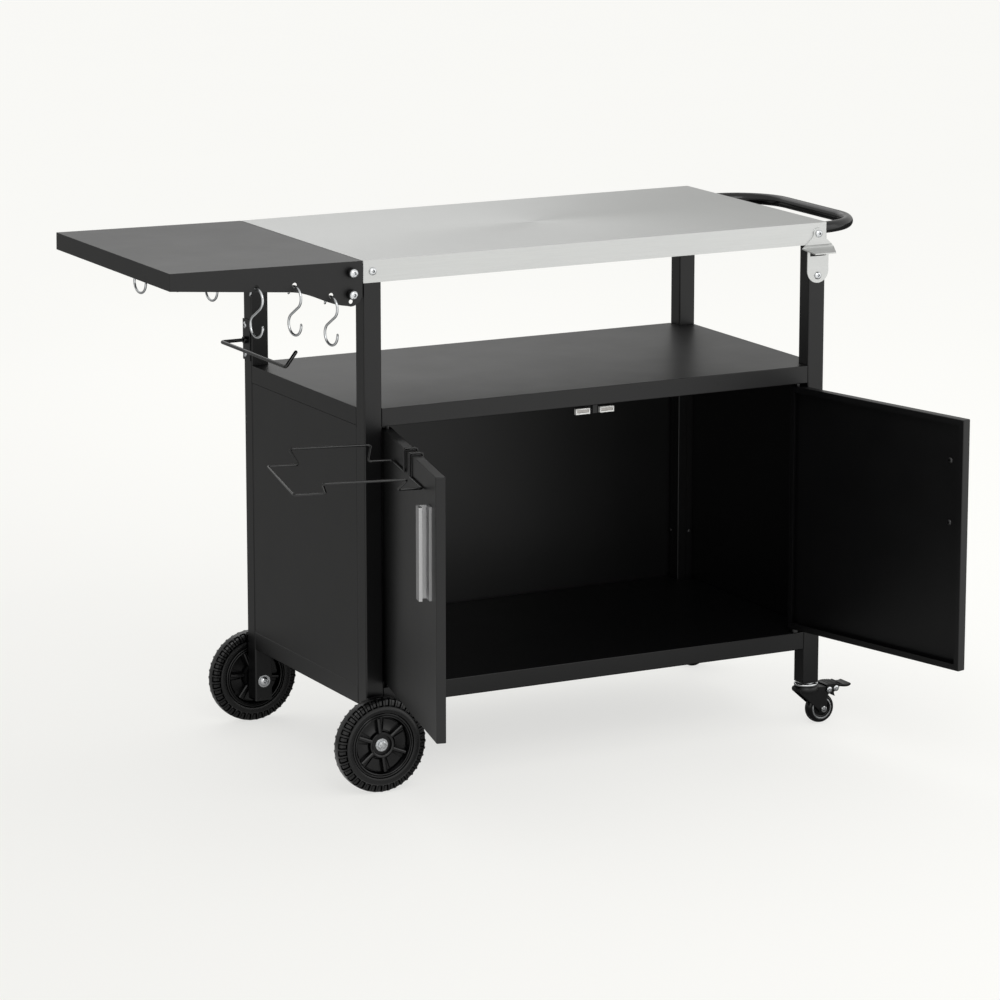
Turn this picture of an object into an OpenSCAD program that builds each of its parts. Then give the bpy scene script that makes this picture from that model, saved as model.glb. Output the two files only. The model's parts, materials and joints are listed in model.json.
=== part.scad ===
// Grill cart with storage: a stainless worktop on four square legs, a cabinet with two doors,
// an open bay, a side shelf with hooks, two big wheels on the left and two casters on the right.
// Sizes are in millimetres. X runs along the cart, Y to its back and Z up.

/* [Worktop] */
// Length of the worktop
top_length = 830; // [780:1:900]
// Depth of the worktop, front to back
top_depth = 450; // [430:1:500]
// Height of the worktop above the floor
top_height = 838; // [820:1:880]
// Thickness of the worktop's stainless sheet
top_sheet = 1.5; // [1.2:0.1:2]
// Depth of the folded apron round the worktop
apron_h = 35; // [30:1:42]
// Radius of the worktop's upright corners
top_corner_r = 2.5; // [2:0.1:4]

/* [Legs] */
// Width of a square leg tube
leg_w = 30; // [28:1:34]
// Wall of a leg tube
leg_wall = 1.5; // [1.2:0.1:2]
// Outer corner radius of a leg tube
leg_corner_r = 2.5; // [2:0.1:3]
// How far a wheel leg reaches below its axle
leg_tail = 33; // [25:1:40]
// Height of a plug in a leg tube
plug_h = 24; // [18:1:30]
// Lip of a plug that closes the tube's end
plug_lip = 3; // [2:0.5:4]

/* [Shelves and panels] */
// Height of the open bay, from the worktop's top down to the middle shelf's top
bay_h = 233; // [220:1:250]
// Height of the lower shelf's top
low_z = 161; // [157:1:175]
// Depth of the middle shelf's rim
mid_rim = 28.5; // [26:0.5:32]
// Depth of the lower shelf's rim
low_rim = 29; // [26:0.5:32]
// Sheet of the shelves
shelf_sheet = 1.2; // [1:0.1:1.5]
// Depth of the flange under the middle shelf's front rim
return_d = 34; // [32:0.5:38]
// Sheet of the side and back panels
panel_sheet = 1; // [0.8:0.1:1.4]
// How far the panels lie behind the faces of the legs
panel_recess = 0.6; // [0.4:0.1:1]
// Width of the panels' folded flanges
panel_flange = 13; // [11:0.5:15]

/* [Side shelf] */
// Length of the side shelf
side_len = 320; // [300:1:340]
// Rise of the side shelf to its outer end
side_rise = 4.3; // [3:0.1:6]
// Sheet of the side shelf
side_sheet = 1.5; // [1.2:0.1:1.8]
// Gap between the side shelf and the worktop
side_gap = 1; // [0.6:0.1:1.2]
// Depth of the rim at the side shelf's outer end
side_rim = 27; // [25:0.5:29]
// How much deeper the flange gets before its step
side_belly = 14; // [13:0.5:16]
// Height of the step in the flange
side_step = 20.5; // [19:0.5:22]
// Where the step starts, from the worktop
step_from = 120; // [110:1:124]
// Where the step ends, from the worktop
step_to = 25; // [23:1:28]
// Distance of the shelf bolts from the worktop
pivot_x = 20; // [19:0.5:21]
// Depth of the upper shelf bolt below the top
pivot_up = 17; // [16:0.5:18]
// Depth of the lower shelf bolt below the top
pivot_down = 50.5; // [49:0.5:52]
// Radius of the flange's corner round the lower shelf bolt
flange_r = 19; // [18:0.25:19.5]
// Radius of the empty hole below the lower shelf bolt
spare_r = 3.5; // [3:0.1:3.6]
// Radius of a spacer under a shelf bolt
spacer_r = 7.5; // [7:0.25:8]
// Length of a spacer under a shelf bolt
spacer_l = 10; // [8:0.5:11]
// Plate of the shelf brackets
bracket_t = 2.5; // [2:0.1:3]
// Reach of a shelf bracket from the worktop
bracket_reach = 33; // [31:0.5:36]

/* [Hooks] */
// Distances of the three hooks from the worktop
hook_x = [178, 114.5, 53.5];
// Depths of the three hook holes below the top
hook_depth = [29.4, 30.5, 50.2];
// Radius of a hook hole
hook_hole_r = 4; // [3.7:0.1:4.2]
// Radius of the hooks' wire
hook_wire_r = 2; // [1.8:0.1:2.2]
// Radius of a hook's loops, to the wire's centre
hook_loop_r = 17; // [15:0.5:18]
// Distance between the centres of a hook's two loops
hook_pitch = 41; // [38:0.5:44]
// Turn of the hooks about the vertical
hook_yaw = 9; // [0:1:15]

/* [Doors] */
// Width of a door
door_w = 380; // [374:1:382]
// Thickness of a door, front to back
door_d = 15; // [14:0.5:16]
// Height of the door's lower edge above the lower shelf
door_foot = 6; // [5:0.5:8]
// Gap between the door's upper edge and the middle shelf's rim
door_head = 5; // [4.8:0.1:6]
// Sheet of a door
door_sheet = 1.2; // [1:0.1:1.4]
// Width of the lip folded in round a door's back
door_lip = 10; // [9:0.5:12]
// Radius of a door's corners on the hinge side
door_corner_r = 3; // [2.5:0.1:3.5]
// Gap between a door's hinge side and the leg
door_gap = 2.5; // [2:0.1:3]
// How far a door's front lies behind the legs' front
door_recess = 0.5; // [0.2:0.1:1]
// Distance of the hinge pin from the door's edge
pin_in = 10.5; // [10:0.1:11]
// Radius of a hinge pin
pin_r = 3; // [2.5:0.1:3.2]
// Radius of the hinge boss in a door
boss_r = 6; // [5.5:0.1:6]
// Height of the hinge boss in a door
boss_h = 8; // [7:0.5:10]
// Radius of the washer that carries a door
hinge_washer_r = 7; // [6:0.25:8]
// Angle at which both doors stand open
door_open = 104; // [90:1:110]

/* [Door handles] */
// Height of a door handle
grip_h = 142; // [130:1:150]
// Depth of the handle's middle below the door's upper edge
grip_drop = 121.5; // [110:0.5:130]
// Width of a door handle
grip_w = 22; // [20:0.5:24]
// Distance of a door handle from the door's free edge
grip_in = 27.5; // [26:0.5:30]
// How far a door handle stands out
grip_out = 19.4; // [18:0.1:21]
// Foot of a door handle on the door
grip_foot = 4; // [3.5:0.1:5]
// Web of a door handle
grip_web = 3.5; // [3:0.1:4]
// Lip of a door handle
grip_lip = 5; // [4.5:0.1:5.5]
// Distance between the handle's two screws
grip_screws = 100; // [96:1:110]

/* [Bag holder] */
// Radius of the bag holder's wire
bag_r = 1.9; // [1.7:0.1:2]
// Distance of the bag holder's middle from the hinge pin
bag_mid = 186; // [180:1:190]
// Distance between the two uprights on the door
bag_uprights = 37; // [34:1:44]
// Drop of the ring below the door's upper edge
bag_drop = 33; // [30:1:40]
// Width of the ring
bag_w = 208; // [200:1:214]
// Reach of the ring in front of the door
bag_reach = 196; // [185:1:200]
// Distance of the ears from the door, at their start
bag_ear_in = 40; // [36:1:44]
// Distance of the ears from the door, at their end
bag_ear_out = 158; // [150:1:162]
// How far an ear stands out to the side
bag_ear_w = 25; // [20:1:28]
// How far an ear stands up
bag_ear_h = 20; // [16:1:22]
// Radius of the wire's bends, to its centre
bag_bend_r = 7; // [6:0.5:8]
// Radius of the wire's bends over the door's edge, to its centre
bag_over_r = 3.5; // [3:0.25:4]
// Gap between the bag holder's wire and the door's faces
bag_gap = 0.8; // [0.6:0.1:1]
// Gap between the bag holder's wire and the door's upper edge
bag_rest = 0.6; // [0.4:0.1:0.7]
// How far the uprights' ends hang down behind the door
bag_tail = 24; // [20:1:30]

/* [Magnetic catch] */
// Width of the catch's middle block
catch_w = 9; // [8:0.5:10]
// Height of the magnets
magnet_h = 9.4; // [9:0.1:10]
// Width of a magnet with its frame
magnet_w = 25.4; // [24:0.2:27]
// Gap between a magnet and the middle block
magnet_side = 4.5; // [4:0.5:5]
// Depth of a magnet with its frame
magnet_d = 6; // [5:0.5:7]
// Gap between a closed door and the magnets
magnet_gap = 0.6; // [0.4:0.1:1]
// Wall of the frame round a magnet
magnet_frame = 1.8; // [1.5:0.1:2]
// Depth of the magnets' lower side below the middle shelf's rim
catch_drop = 17; // [16:0.5:18]
// Plate that the magnets sit on
catch_plate = 2; // [1.5:0.1:2.5]

/* [Push handle] */
// Radius of the push handle's tube
push_r = 9.5; // [9:0.25:10]
// Wall of the push handle's tube
push_wall = 1.5; // [1.2:0.1:2]
// Reach of the push handle beyond the worktop
push_reach = 120; // [112:1:130]
// Distance of the push handle's arms from the worktop's sides
push_in = 50; // [46:1:60]
// Radius of the push handle's bends, to the tube's centre
push_bend_r = 92; // [80:1:96]
// Length of the threaded plug in a handle arm
push_plug = 12; // [10:1:14]

/* [Towel holder] */
// Radius of the towel rod
towel_r = 3; // [2.8:0.1:3.3]
// Distance of the towel rod from the worktop's end
towel_out = 43.5; // [40:0.5:50]
// Height of the towel rod above the middle shelf's top
towel_up = 40.5; // [36:0.5:46]
// Straight length of the towel rod, bends included
towel_len = 246; // [230:1:260]
// Radius of the towel rod's bends
towel_bend_r = 10; // [8:0.5:12]
// Length of the towel rod's tip
towel_tip = 31; // [26:1:34]
// Lean of the towel rod's tip towards the cart
towel_lean = 38; // [30:1:45]
// Height of the towel holder's plate
towel_plate_h = 67; // [64:1:72]
// Width of the towel holder's plate
towel_plate_w = 27; // [24:0.5:28]
// Thickness of the towel holder's plate
towel_plate_t = 2; // [1.5:0.1:2.5]
// Radius of the collar at the towel rod's root
towel_collar_r = 6; // [5.5:0.1:7]
// Distance between the plate's two screws
towel_screws = 47; // [44:1:50]

/* [Bottle opener] */
// Thickness of the opener's plate
opener_t = 2; // [1.8:0.1:2.3]
// Width of the opener's lip
opener_w = 59; // [56:0.5:64]
// Width of the opener's lip along its front edge
opener_lip_w = 39; // [36:0.5:44]
// Width of the opener's tongue
opener_tongue = 39.5; // [36:0.5:41]
// How far the opener's lip stands out
opener_out = 24; // [20:0.5:26]
// How far the opener's lip slopes down
opener_fall = 6; // [4:0.5:8]
// Depth of the lip's root below the apron bolt
opener_drop = 22.5; // [21:0.5:24]
// Radius of the opener's ear round the apron bolt
opener_ear_r = 9.5; // [8.5:0.1:11]
// Distance between the opener's two bolts
opener_bolts = 68.5; // [66:0.5:72]
// Height of the opener's mouth
opener_mouth = 12; // [10:0.5:13]

/* [Wheels] */
// Radius of a wheel
wheel_r = 76.2; // [74:0.1:78]
// Width of a wheel
wheel_w = 28; // [26:0.5:29]
// How far the wheels stand out from the worktop's sides
wheel_out = 29; // [28.5:0.1:31]
// Radius of a wheel's axle
axle_r = 4; // [3.8:0.1:4.5]
// Radius at which the tyre meets the rim
rim_r = 52; // [50:0.5:54]
// Wall of the rim
rim_wall = 5; // [4:0.5:6]
// Radius of a wheel's hub
hub_r = 20; // [18:0.5:22]
// Width of a spoke
spoke_w = 10; // [8:0.5:12]
// Height of the tread's blocks
tread_h = 3; // [2.5:0.1:3.5]
// Number of blocks round a tyre
tread_blocks = 40; // [32:2:44]
// Radius of the washer on a wheel's hub
axle_washer_r = 10.5; // [10:0.25:11.5]

/* [Casters] */
// Height of a caster, from the floor to the leg
caster_h = 73; // [71:0.5:78]
// Radius of a caster's wheel
caster_r = 25; // [24:0.25:26]
// Width of a caster's wheel
caster_w = 20; // [18:0.5:21]
// Distance from a caster's swivel axis to its wheel's axis
caster_trail = 26; // [24:0.5:28]
// Radius of a caster's bearing race
race_r = 20; // [19:0.25:21]
// Height of a caster's bearing race
race_h = 6; // [5:0.25:7]
// Radius of a caster's stem
stem_r = 5; // [4.5:0.1:5.5]
// Length of a caster's stem in the leg
stem_l = 30; // [28:1:34]
// Plate of a caster's fork
fork_t = 2; // [1.8:0.1:2.3]
// Radius of a caster wheel's core
core_r = 17; // [16:0.25:18]
// Radius of a caster wheel's axle
caster_axle_r = 3; // [2.8:0.1:3.3]
// Length of a brake pedal beyond its pin
pedal_l = 42; // [38:0.5:44]
// Angle through which a brake pedal is pressed
pedal_press = 12; // [10:0.5:12]

/* [Hidden] */
$fn = 48;
// Colours
steel = [0.77, 0.78, 0.79];
black = [0.13, 0.13, 0.14];
zinc = [0.72, 0.72, 0.73];
alloy = [0.66, 0.67, 0.69];
plastic = [0.08, 0.08, 0.08];
rubber = [0.05, 0.05, 0.05];
white = [0.92, 0.92, 0.9];

// Clearances
over = 5;
fit = 0.05;
seat_gap = 0.3;
run_gap = 0.2;

// Fasteners: shank radius, length, head radius, head height and the radius across the socket's corners
apron_bolt = [3, 12, 6.3, 3.4, 2.3];
pivot_bolt = [4, 30, 7, 4, 2.9];
small_screw = [2.2, 7, 4.2, 2.2, 1.7];
grip_screw = [2, 4.4, 5, 2.6, 1.7];
push_bolt = [4, 10, 6.8, 4, 2.9];
nut_h = 5.5;
nut_r = 7;
dome_steps = 5;

// Places worked out from the sizes above
leg_in = top_sheet;
deck_under = top_height - top_sheet;
apron_mid = top_height - apron_h / 2;
right_x = top_length - leg_in - leg_w;
back_y = top_depth - leg_in - leg_w;
leg_mid = leg_in + leg_w / 2;
right_mid = top_length - leg_mid;
back_mid = top_depth - leg_mid;
axle_z = wheel_r;
mid_z = top_height - bay_h;
mid_under = mid_z - mid_rim;
low_under = low_z - low_rim;
side_tilt = asin(side_rise / side_len);
door_z0 = low_z + door_foot;
door_z1 = mid_under - door_head;
grip_z = door_z1 - grip_drop;
door_front = leg_in + door_recess;
pin_y = door_front + door_d / 2;
pin_x = leg_in + leg_w + door_gap + pin_in;
door_reach = door_w - pin_in;
front_y = pin_y - door_reach * sin(door_open) + door_d / 2 * cos(door_open);
left_end = side_len * cos(side_tilt) + side_rim * sin(side_tilt);
centre_x = (top_length + push_reach - left_end) / 2;
centre_y = (top_depth + wheel_out + front_y) / 2;
nut_round = 6;
arc_steps = 8;
flange_steps = 40;
bend_steps = 3;
wire_sides = 8;

// The smaller sizes of the pieces
spare_depth = pivot_down + spacer_r + spare_r + seat_gap;
bracket_under = 3;
bracket_clear = leg_in + leg_w + seat_gap;
panel_screw_z = [low_z + (mid_under - low_z) / 5, mid_under - (mid_under - low_z) / 5];
mouth_side = 5;
ear_share = 0.2;
flare_share = 0.3;
tongue_round_up = 8;
catch_foot = 16;
joint_r_more = 0.15;
hook_run_more = 0.4;
pin_head_r = 4.5;
pin_head_h = 2;
grip_round = 2.5;
towel_z = mid_z + towel_up;
towel_screw_in = 9;
towel_off = 1;
towel_collar_h = 6;
hook_start = 10;
hook_tip = 10;
block_share = 0.26;
block_foot_share = 0.312;
crown_share = 0.5;
tyre_shoulder = 3.5;
rim_in = 1;
web_t = 4;
spokes = 6;
spoke_turn = 15;
spoke_in = 6;
hub_in = 4;
hub_clear = 3;
washer_seat = 8.5;
axle_washer_t = 1.6;
axle_spacer_r = 8;
wheel_nut_in = 1.5;
fork_roof = 6;
cheek_gap = 1.5;
cheek_r = 7;
cheek_share = 0.8;
stem_head_r = 7.5;
stem_head_h = 3;
pedal_pin_x = 36;
pedal_pin_z = 57;
pedal_pin_r = 2;
pedal_t = 1.6;
pedal_eye_r = 5;
pedal_rise = 9;
pedal_share = 0.25;
pedal_ribs = 6;
rib_pitch = 4;
shoe_x = 7;
shoe_drop = 9;
pin_end_share = 1.8;
pin_end_h = 2;
tread_edge = 2;
core_hub_share = 0.45;
echo(centre_x = centre_x, centre_y = centre_y, side_tilt = side_tilt, pin_x = pin_x, pin_y = pin_y);

// Moves a piece from the cart's corner on the floor to the middle of the space that the cart fills
module cart() translate([-centre_x, -centre_y, 0]) children();

// The same piece at the front and, mirrored, at the back
module both_sides() {
    children();
    translate([0, top_depth, 0]) mirror([0, 1, 0]) children();
}
module at_back(back) translate([0, back ? top_depth : 0, 0]) mirror([0, back ? 1 : 0, 0]) children();
module at_right(right) translate([right ? top_length : 0, 0, 0]) mirror([right ? 1 : 0, 0, 0]) children();

// A rectangle with round corners
module round_rect(w, d, r) {
    translate([r, 0]) square([w - 2 * r, d]);
    translate([0, r]) square([w, d - 2 * r]);
    for (x = [r, w - r], y = [r, d - r]) translate([x, y]) circle(r);
}

// A ring or a disc with a hole, standing on its lower face
module ring(r, bore, h) difference() {
    cylinder(r = r, h = h);
    translate([0, 0, -over]) cylinder(r = bore, h = h + 2 * over);
}

// A dome-headed bolt with a hex socket: its head stands on z = 0 and its shank points down
module bolt(b) {
    translate([0, 0, -b[1]]) cylinder(r = b[0], h = b[1]);
    difference() {
        rotate_extrude() polygon(concat([[0, 0]],
            [for (i = [0 : dome_steps]) [b[2] * cos(90 * i / dome_steps), b[3] * sin(90 * i / dome_steps)]]));
        translate([0, 0, b[3] / 2]) cylinder(r = b[4], h = b[3], $fn = 6);
    }
}
module bolt_hole(b) translate([0, 0, -b[1] - over]) cylinder(r = b[0] + fit, h = b[1] + 2 * over);
module shank_hole(b) translate([0, 0, -b[1] - fit]) cylinder(r = b[0] + fit, h = b[1] + over);
module hex_nut(bore, h, r = nut_r) difference() {
    cylinder(r = r, h = h, $fn = nut_round);
    translate([0, 0, -over]) cylinder(r = bore + fit, h = h + 2 * over);
}

axle_bolt = [axle_r, leg_in + leg_w + wheel_out - wheel_nut_in, 7.5, 4.5, 3];

// Each module below places its children with a bolt's head outwards
module at_apron_bolts() for (right = [false, true], back = [false, true]) at_back(back)
    translate([right ? right_mid : leg_mid, right && !back ? -opener_t : 0, apron_mid])
        rotate([90, 0, 0]) children();
module at_opener_bolt() translate([right_mid, leg_in - opener_t, apron_mid - opener_bolts])
    rotate([90, 0, 0]) children();
module at_bracket_bolts() both_sides() translate([-bracket_t, leg_mid + leg_w / 8, apron_mid])
    rotate([0, -90, 0]) children();
module at_shelf_screws() for (right = [false, true], z = [mid_z - mid_rim / 2, low_z - low_rim / 2])
    both_sides() at_right(right)
        translate([leg_in + leg_w + shelf_sheet, leg_mid, z]) rotate([0, 90, 0]) children();
module at_side_panel_screws() for (z = panel_screw_z) both_sides()
    translate([leg_in + panel_recess + panel_flange / 2, leg_in + leg_w + panel_sheet, z])
        rotate([-90, 0, 0]) children();
module at_back_panel_screws() for (z = panel_screw_z)
    translate([leg_in + leg_w + panel_sheet, top_depth - leg_in - panel_recess - panel_flange / 2, z])
        rotate([0, 90, 0]) children();
module at_panel_screws() for (right = [false, true]) at_right(right) {
    at_side_panel_screws() children();
    at_back_panel_screws() children();
}
module at_towel_screws() for (z = [-1, 1])
    translate([leg_in - towel_plate_t, top_depth - leg_in - towel_screw_in,
            towel_z + z * towel_screws / 2])
        rotate([0, -90, 0]) children();
module at_axles() both_sides() translate([leg_mid, leg_in + leg_w + axle_washer_t, axle_z])
    rotate([-90, 0, 0]) children();
module at_push_bolts() both_sides() translate([top_length - top_sheet, push_in, apron_mid])
    rotate([0, -90, 0]) children();
module at_pivots() both_sides() side_frame() for (z = [-pivot_up, -pivot_down])
    translate([-pivot_x, 0, z]) rotate([90, 0, 0]) children();
module at_hinge_pins(low) for (right = [false, true]) at_right(right)
    translate([pin_x, pin_y, low ? low_z : mid_under]) children();

// All holes that the frame's fasteners need
module frame_holes() {
    at_apron_bolts() bolt_hole(apron_bolt);
    at_opener_bolt() bolt_hole(apron_bolt);
    at_bracket_bolts() bolt_hole(apron_bolt);
    at_shelf_screws() bolt_hole(small_screw);
    at_panel_screws() bolt_hole(small_screw);
    at_towel_screws() bolt_hole(small_screw);
    at_axles() bolt_hole(axle_bolt);
    at_push_bolts() bolt_hole(push_bolt);
}

// A leg: a square tube from the worktop's underside to its plug
module leg(right, back) cart() color(black) difference() {
    z0 = plug_lip + (right ? caster_h : axle_z - leg_tail);
    at_right(right) at_back(back) translate([leg_in, leg_in, z0]) linear_extrude(deck_under - z0)
        difference() {
            round_rect(leg_w, leg_w, leg_corner_r);
            translate([leg_wall, leg_wall])
                round_rect(leg_w - 2 * leg_wall, leg_w - 2 * leg_wall, leg_corner_r - leg_wall);
        }
    frame_holes();
}
module leg_front_left() leg(false, false);
module leg_front_right() leg(true, false);
module leg_rear_left() leg(false, true);
module leg_rear_right() leg(true, true);

// The plugs: closed on the wheel legs, bored for the stem on the caster legs
module leg_plugs() cart() color(plastic) for (right = [false, true]) both_sides() at_right(right) {
    z0 = right ? caster_h : axle_z - leg_tail;
    inner = leg_w - 2 * leg_wall - 2 * fit;
    difference() {
        union() {
            translate([leg_in, leg_in, z0]) linear_extrude(plug_lip) round_rect(leg_w, leg_w, leg_corner_r);
            translate([leg_mid - inner / 2, leg_mid - inner / 2, z0])
                linear_extrude(plug_lip + (right ? plug_h : plug_h / 2))
                    round_rect(inner, inner, leg_corner_r - leg_wall);
        }
        if (right) translate([leg_mid, leg_mid, z0 - over])
            cylinder(r = stem_r + fit, h = plug_h + 2 * over + plug_lip);
    }
}

// The worktop: a folded cap of stainless sheet
module worktop() cart() color(steel) difference() {
    translate([0, 0, top_height - apron_h]) linear_extrude(apron_h)
        round_rect(top_length, top_depth, top_corner_r);
    translate([top_sheet, top_sheet, top_height - apron_h - over]) linear_extrude(apron_h - top_sheet + over)
        round_rect(top_length - 2 * top_sheet, top_depth - 2 * top_sheet, top_corner_r - top_sheet);
    frame_holes();
}
module frame_bolts() cart() color(zinc) {
    at_apron_bolts() bolt(apron_bolt);
    at_opener_bolt() bolt(apron_bolt);
    at_bracket_bolts() bolt(apron_bolt);
}

// The side shelf's own frame: its inner upper edge, with the slope of its top
module side_frame() translate([0, 0, top_height]) rotate([0, side_tilt, 0]) children();
function smooth(t) = t <= 0 ? 0 : t >= 1 ? 1 : (1 - cos(180 * t)) / 2;
function flange_depth(d) = side_rim + side_belly * (side_len - d) / (side_len - step_from)
    + side_step * smooth((step_from - d) / (step_from - step_to));
module flange_outline() polygon(concat(
    [[-side_len, -side_rim], [-side_len, 0], [-side_gap, 0]],
    [for (i = [0 : arc_steps]) let (a = -90 * i / arc_steps)
        [flange_r * cos(a) - pivot_x, flange_r * sin(a) - pivot_down]],
    [for (i = [1 : flange_steps]) let (d = pivot_x + (side_len - pivot_x) * i / flange_steps)
        [-d, -min(flange_depth(d), pivot_down + flange_r)]]));
module at_hook_holes() for (i = [0 : len(hook_x) - 1])
    translate([-hook_x[i], 0, -hook_depth[i]]) rotate([90, 0, 0]) children();
module side_shelf() cart() color(black) difference() {
    side_frame() {
        translate([-side_len, 0, -side_sheet]) cube([side_len - side_gap, top_depth, side_sheet]);
        translate([-side_len, 0, -side_rim]) cube([side_sheet, top_depth, side_rim]);
        translate([-side_gap - side_sheet, bracket_clear, -side_rim])
            cube([side_sheet, top_depth - 2 * bracket_clear, side_rim]);
        for (y = [side_sheet, top_depth])
            translate([0, y, 0]) rotate([90, 0, 0]) linear_extrude(side_sheet) flange_outline();
    }
    at_pivots() translate([0, 0, -over]) cylinder(r = pivot_bolt[0] + fit, h = 2 * over);
    both_sides() side_frame() at_hook_holes()
        translate([0, 0, -over]) cylinder(r = hook_hole_r, h = 2 * over);
    both_sides() side_frame() translate([-pivot_x, 0, -spare_depth]) rotate([90, 0, 0])
        translate([0, 0, -over]) cylinder(r = spare_r, h = 2 * over);
}

// The brackets: angle plates behind the flanges, bolted to the worktop's apron and the legs
module side_shelf_brackets() cart() color(black) both_sides() difference() {
    bracket_z0 = top_height - pivot_down - spacer_r;
    bracket_h = pivot_down + spacer_r - side_sheet - bracket_under;
    union() {
        translate([-bracket_reach, side_sheet, bracket_z0]) cube([bracket_reach, bracket_t, bracket_h]);
        translate([-bracket_t, side_sheet, bracket_z0])
            cube([bracket_t, leg_in + leg_w - side_sheet, bracket_h]);
    }
    side_frame() for (z = [-pivot_up, -pivot_down])
        translate([-pivot_x, 0, z]) rotate([90, 0, 0]) translate([0, 0, -pivot_bolt[1]])
            cylinder(r = pivot_bolt[0] + fit, h = 2 * pivot_bolt[1]);
    translate([-bracket_t, leg_mid + leg_w / 8, apron_mid]) rotate([0, -90, 0]) bolt_hole(apron_bolt);
}
module side_shelf_spacers() cart() color(plastic) at_pivots() ring(spacer_r, pivot_bolt[0] + fit, spacer_l);
module side_shelf_bolts() cart() color(zinc) at_pivots() {
    translate([0, 0, spacer_l]) bolt(pivot_bolt);
    translate([0, 0, -side_sheet - bracket_t - nut_h]) hex_nut(pivot_bolt[0], nut_h);
}

// A shelf: a tray turned upside down, with a notch round each leg
module tray_outline(inset) difference() {
    translate([leg_in + inset, leg_in + inset])
        square([top_length - 2 * leg_in - 2 * inset, top_depth - 2 * leg_in - 2 * inset]);
    for (right = [false, true], back = [false, true])
        translate([right ? right_x - inset : 0, back ? back_y - inset : 0])
            square([leg_in + leg_w + inset, leg_in + leg_w + inset]);
}
module tray(z, rim) difference() {
    translate([0, 0, z - rim]) linear_extrude(rim) tray_outline(0);
    translate([0, 0, z - rim - over]) linear_extrude(rim - shelf_sheet + over) tray_outline(shelf_sheet);
}
module mid_shelf() cart() color(black) difference() {
    union() {
        tray(mid_z, mid_rim);
        translate([leg_in + leg_w, leg_in, mid_under])
            cube([top_length - 2 * leg_in - 2 * leg_w, return_d, shelf_sheet]);
    }
    at_shelf_screws() bolt_hole(small_screw);
    at_hinge_pins(false) translate([0, 0, -over]) cylinder(r = pin_r + fit, h = 2 * over);
    at_catch_screws() bolt_hole(small_screw);
}
module lower_shelf() cart() color(black) difference() {
    tray(low_z, low_rim);
    at_shelf_screws() bolt_hole(small_screw);
    at_hinge_pins(true) translate([0, 0, -over]) cylinder(r = pin_r + fit, h = 2 * over);
}
module shelf_screws() cart() color(zinc) {
    at_shelf_screws() bolt(small_screw);
    at_catch_screws() bolt(small_screw);
}

// The panels: sheets with a flange folded in along each upright edge
module side_panel(right) cart() color(black) difference() {
    at_right(right) translate([leg_in + panel_recess, leg_in + leg_w, low_z]) {
        cube([panel_sheet, top_depth - 2 * leg_in - 2 * leg_w, mid_under - low_z]);
        for (y = [0, top_depth - 2 * leg_in - 2 * leg_w - panel_sheet])
            translate([0, y, 0]) cube([panel_flange, panel_sheet, mid_under - low_z]);
    }
    at_panel_screws() bolt_hole(small_screw);
}
module side_panel_left() side_panel(false);
module side_panel_right() side_panel(true);
module back_panel() cart() color(black) difference() {
    back_w = top_length - 2 * leg_in - 2 * leg_w;
    translate([leg_in + leg_w, top_depth - leg_in - panel_recess, low_z]) {
        translate([0, -panel_sheet, 0]) cube([back_w, panel_sheet, mid_under - low_z]);
        for (x = [0, back_w - panel_sheet])
            translate([x, -panel_flange, 0]) cube([panel_sheet, panel_flange, mid_under - low_z]);
    }
    at_panel_screws() bolt_hole(small_screw);
}
module panel_screws() cart() color(zinc) at_panel_screws() bolt(small_screw);

// The push handle: a bent tube, screwed on from inside the apron
module push_path(r, more) {
    bar_x = top_length + push_reach - push_r;
    bend_x = bar_x - push_bend_r;
    both_sides() {
        translate([top_length - more, push_in, apron_mid]) rotate([0, 90, 0])
            cylinder(r = r, h = bend_x - top_length + more);
        translate([bend_x, push_in + push_bend_r, apron_mid]) rotate([0, 0, -90])
            rotate_extrude(angle = 90) translate([push_bend_r, 0]) circle(r);
    }
    translate([bar_x, push_in + push_bend_r, apron_mid]) rotate([-90, 0, 0])
        cylinder(r = r, h = top_depth - 2 * push_in - 2 * push_bend_r);
}
module push_handle() cart() color(black) difference() {
    push_path(push_r, 0);
    push_path(push_r - push_wall, over);
}
module handle_plugs() cart() color(zinc) both_sides() difference() {
    translate([top_length, push_in, apron_mid]) rotate([0, 90, 0])
        cylinder(r = push_r - push_wall - fit, h = push_plug);
    translate([top_length - top_sheet, push_in, apron_mid]) rotate([0, -90, 0]) shank_hole(push_bolt);
}
module handle_bolts() cart() color(zinc) at_push_bolts() bolt(push_bolt);

// The bottle opener: a plate on the apron and the leg, with a lip over its mouth
module opener_front() {
    elbow = [opener_ear_r, -opener_drop * ear_share];
    root = [opener_w / 2, -opener_drop];
    side = bend([opener_ear_r, 0], elbow, between(elbow, root, flare_share), arc_steps);
    circle(opener_ear_r);
    for (s = [0, 1]) mirror([s, 0])
        polygon(concat([[0, 0]], side, [root, root - [0, opener_t], [0, -opener_drop - opener_t]]));
    difference() {
        translate([-opener_tongue / 2, tongue_round_up - opener_bolts])
            square([opener_tongue, opener_bolts - opener_drop - tongue_round_up]);
        translate([-opener_tongue / 2 + mouth_side, -opener_drop - opener_t - opener_mouth])
            square([opener_tongue - 2 * mouth_side, opener_mouth]);
    }
    translate([0, tongue_round_up - opener_bolts]) circle(opener_tongue / 2);
}
module opener_side() {
    foot = -opener_bolts - opener_tongue;
    ear = opener_tongue;
    bend = -apron_h / 2 - seat_gap;
    polygon([[-opener_t, ear], [0, ear], [0, bend], [leg_in, bend - leg_in], [leg_in, foot],
        [leg_in - opener_t, foot], [leg_in - opener_t, bend - leg_in], [-opener_t, bend]]);
}
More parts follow.
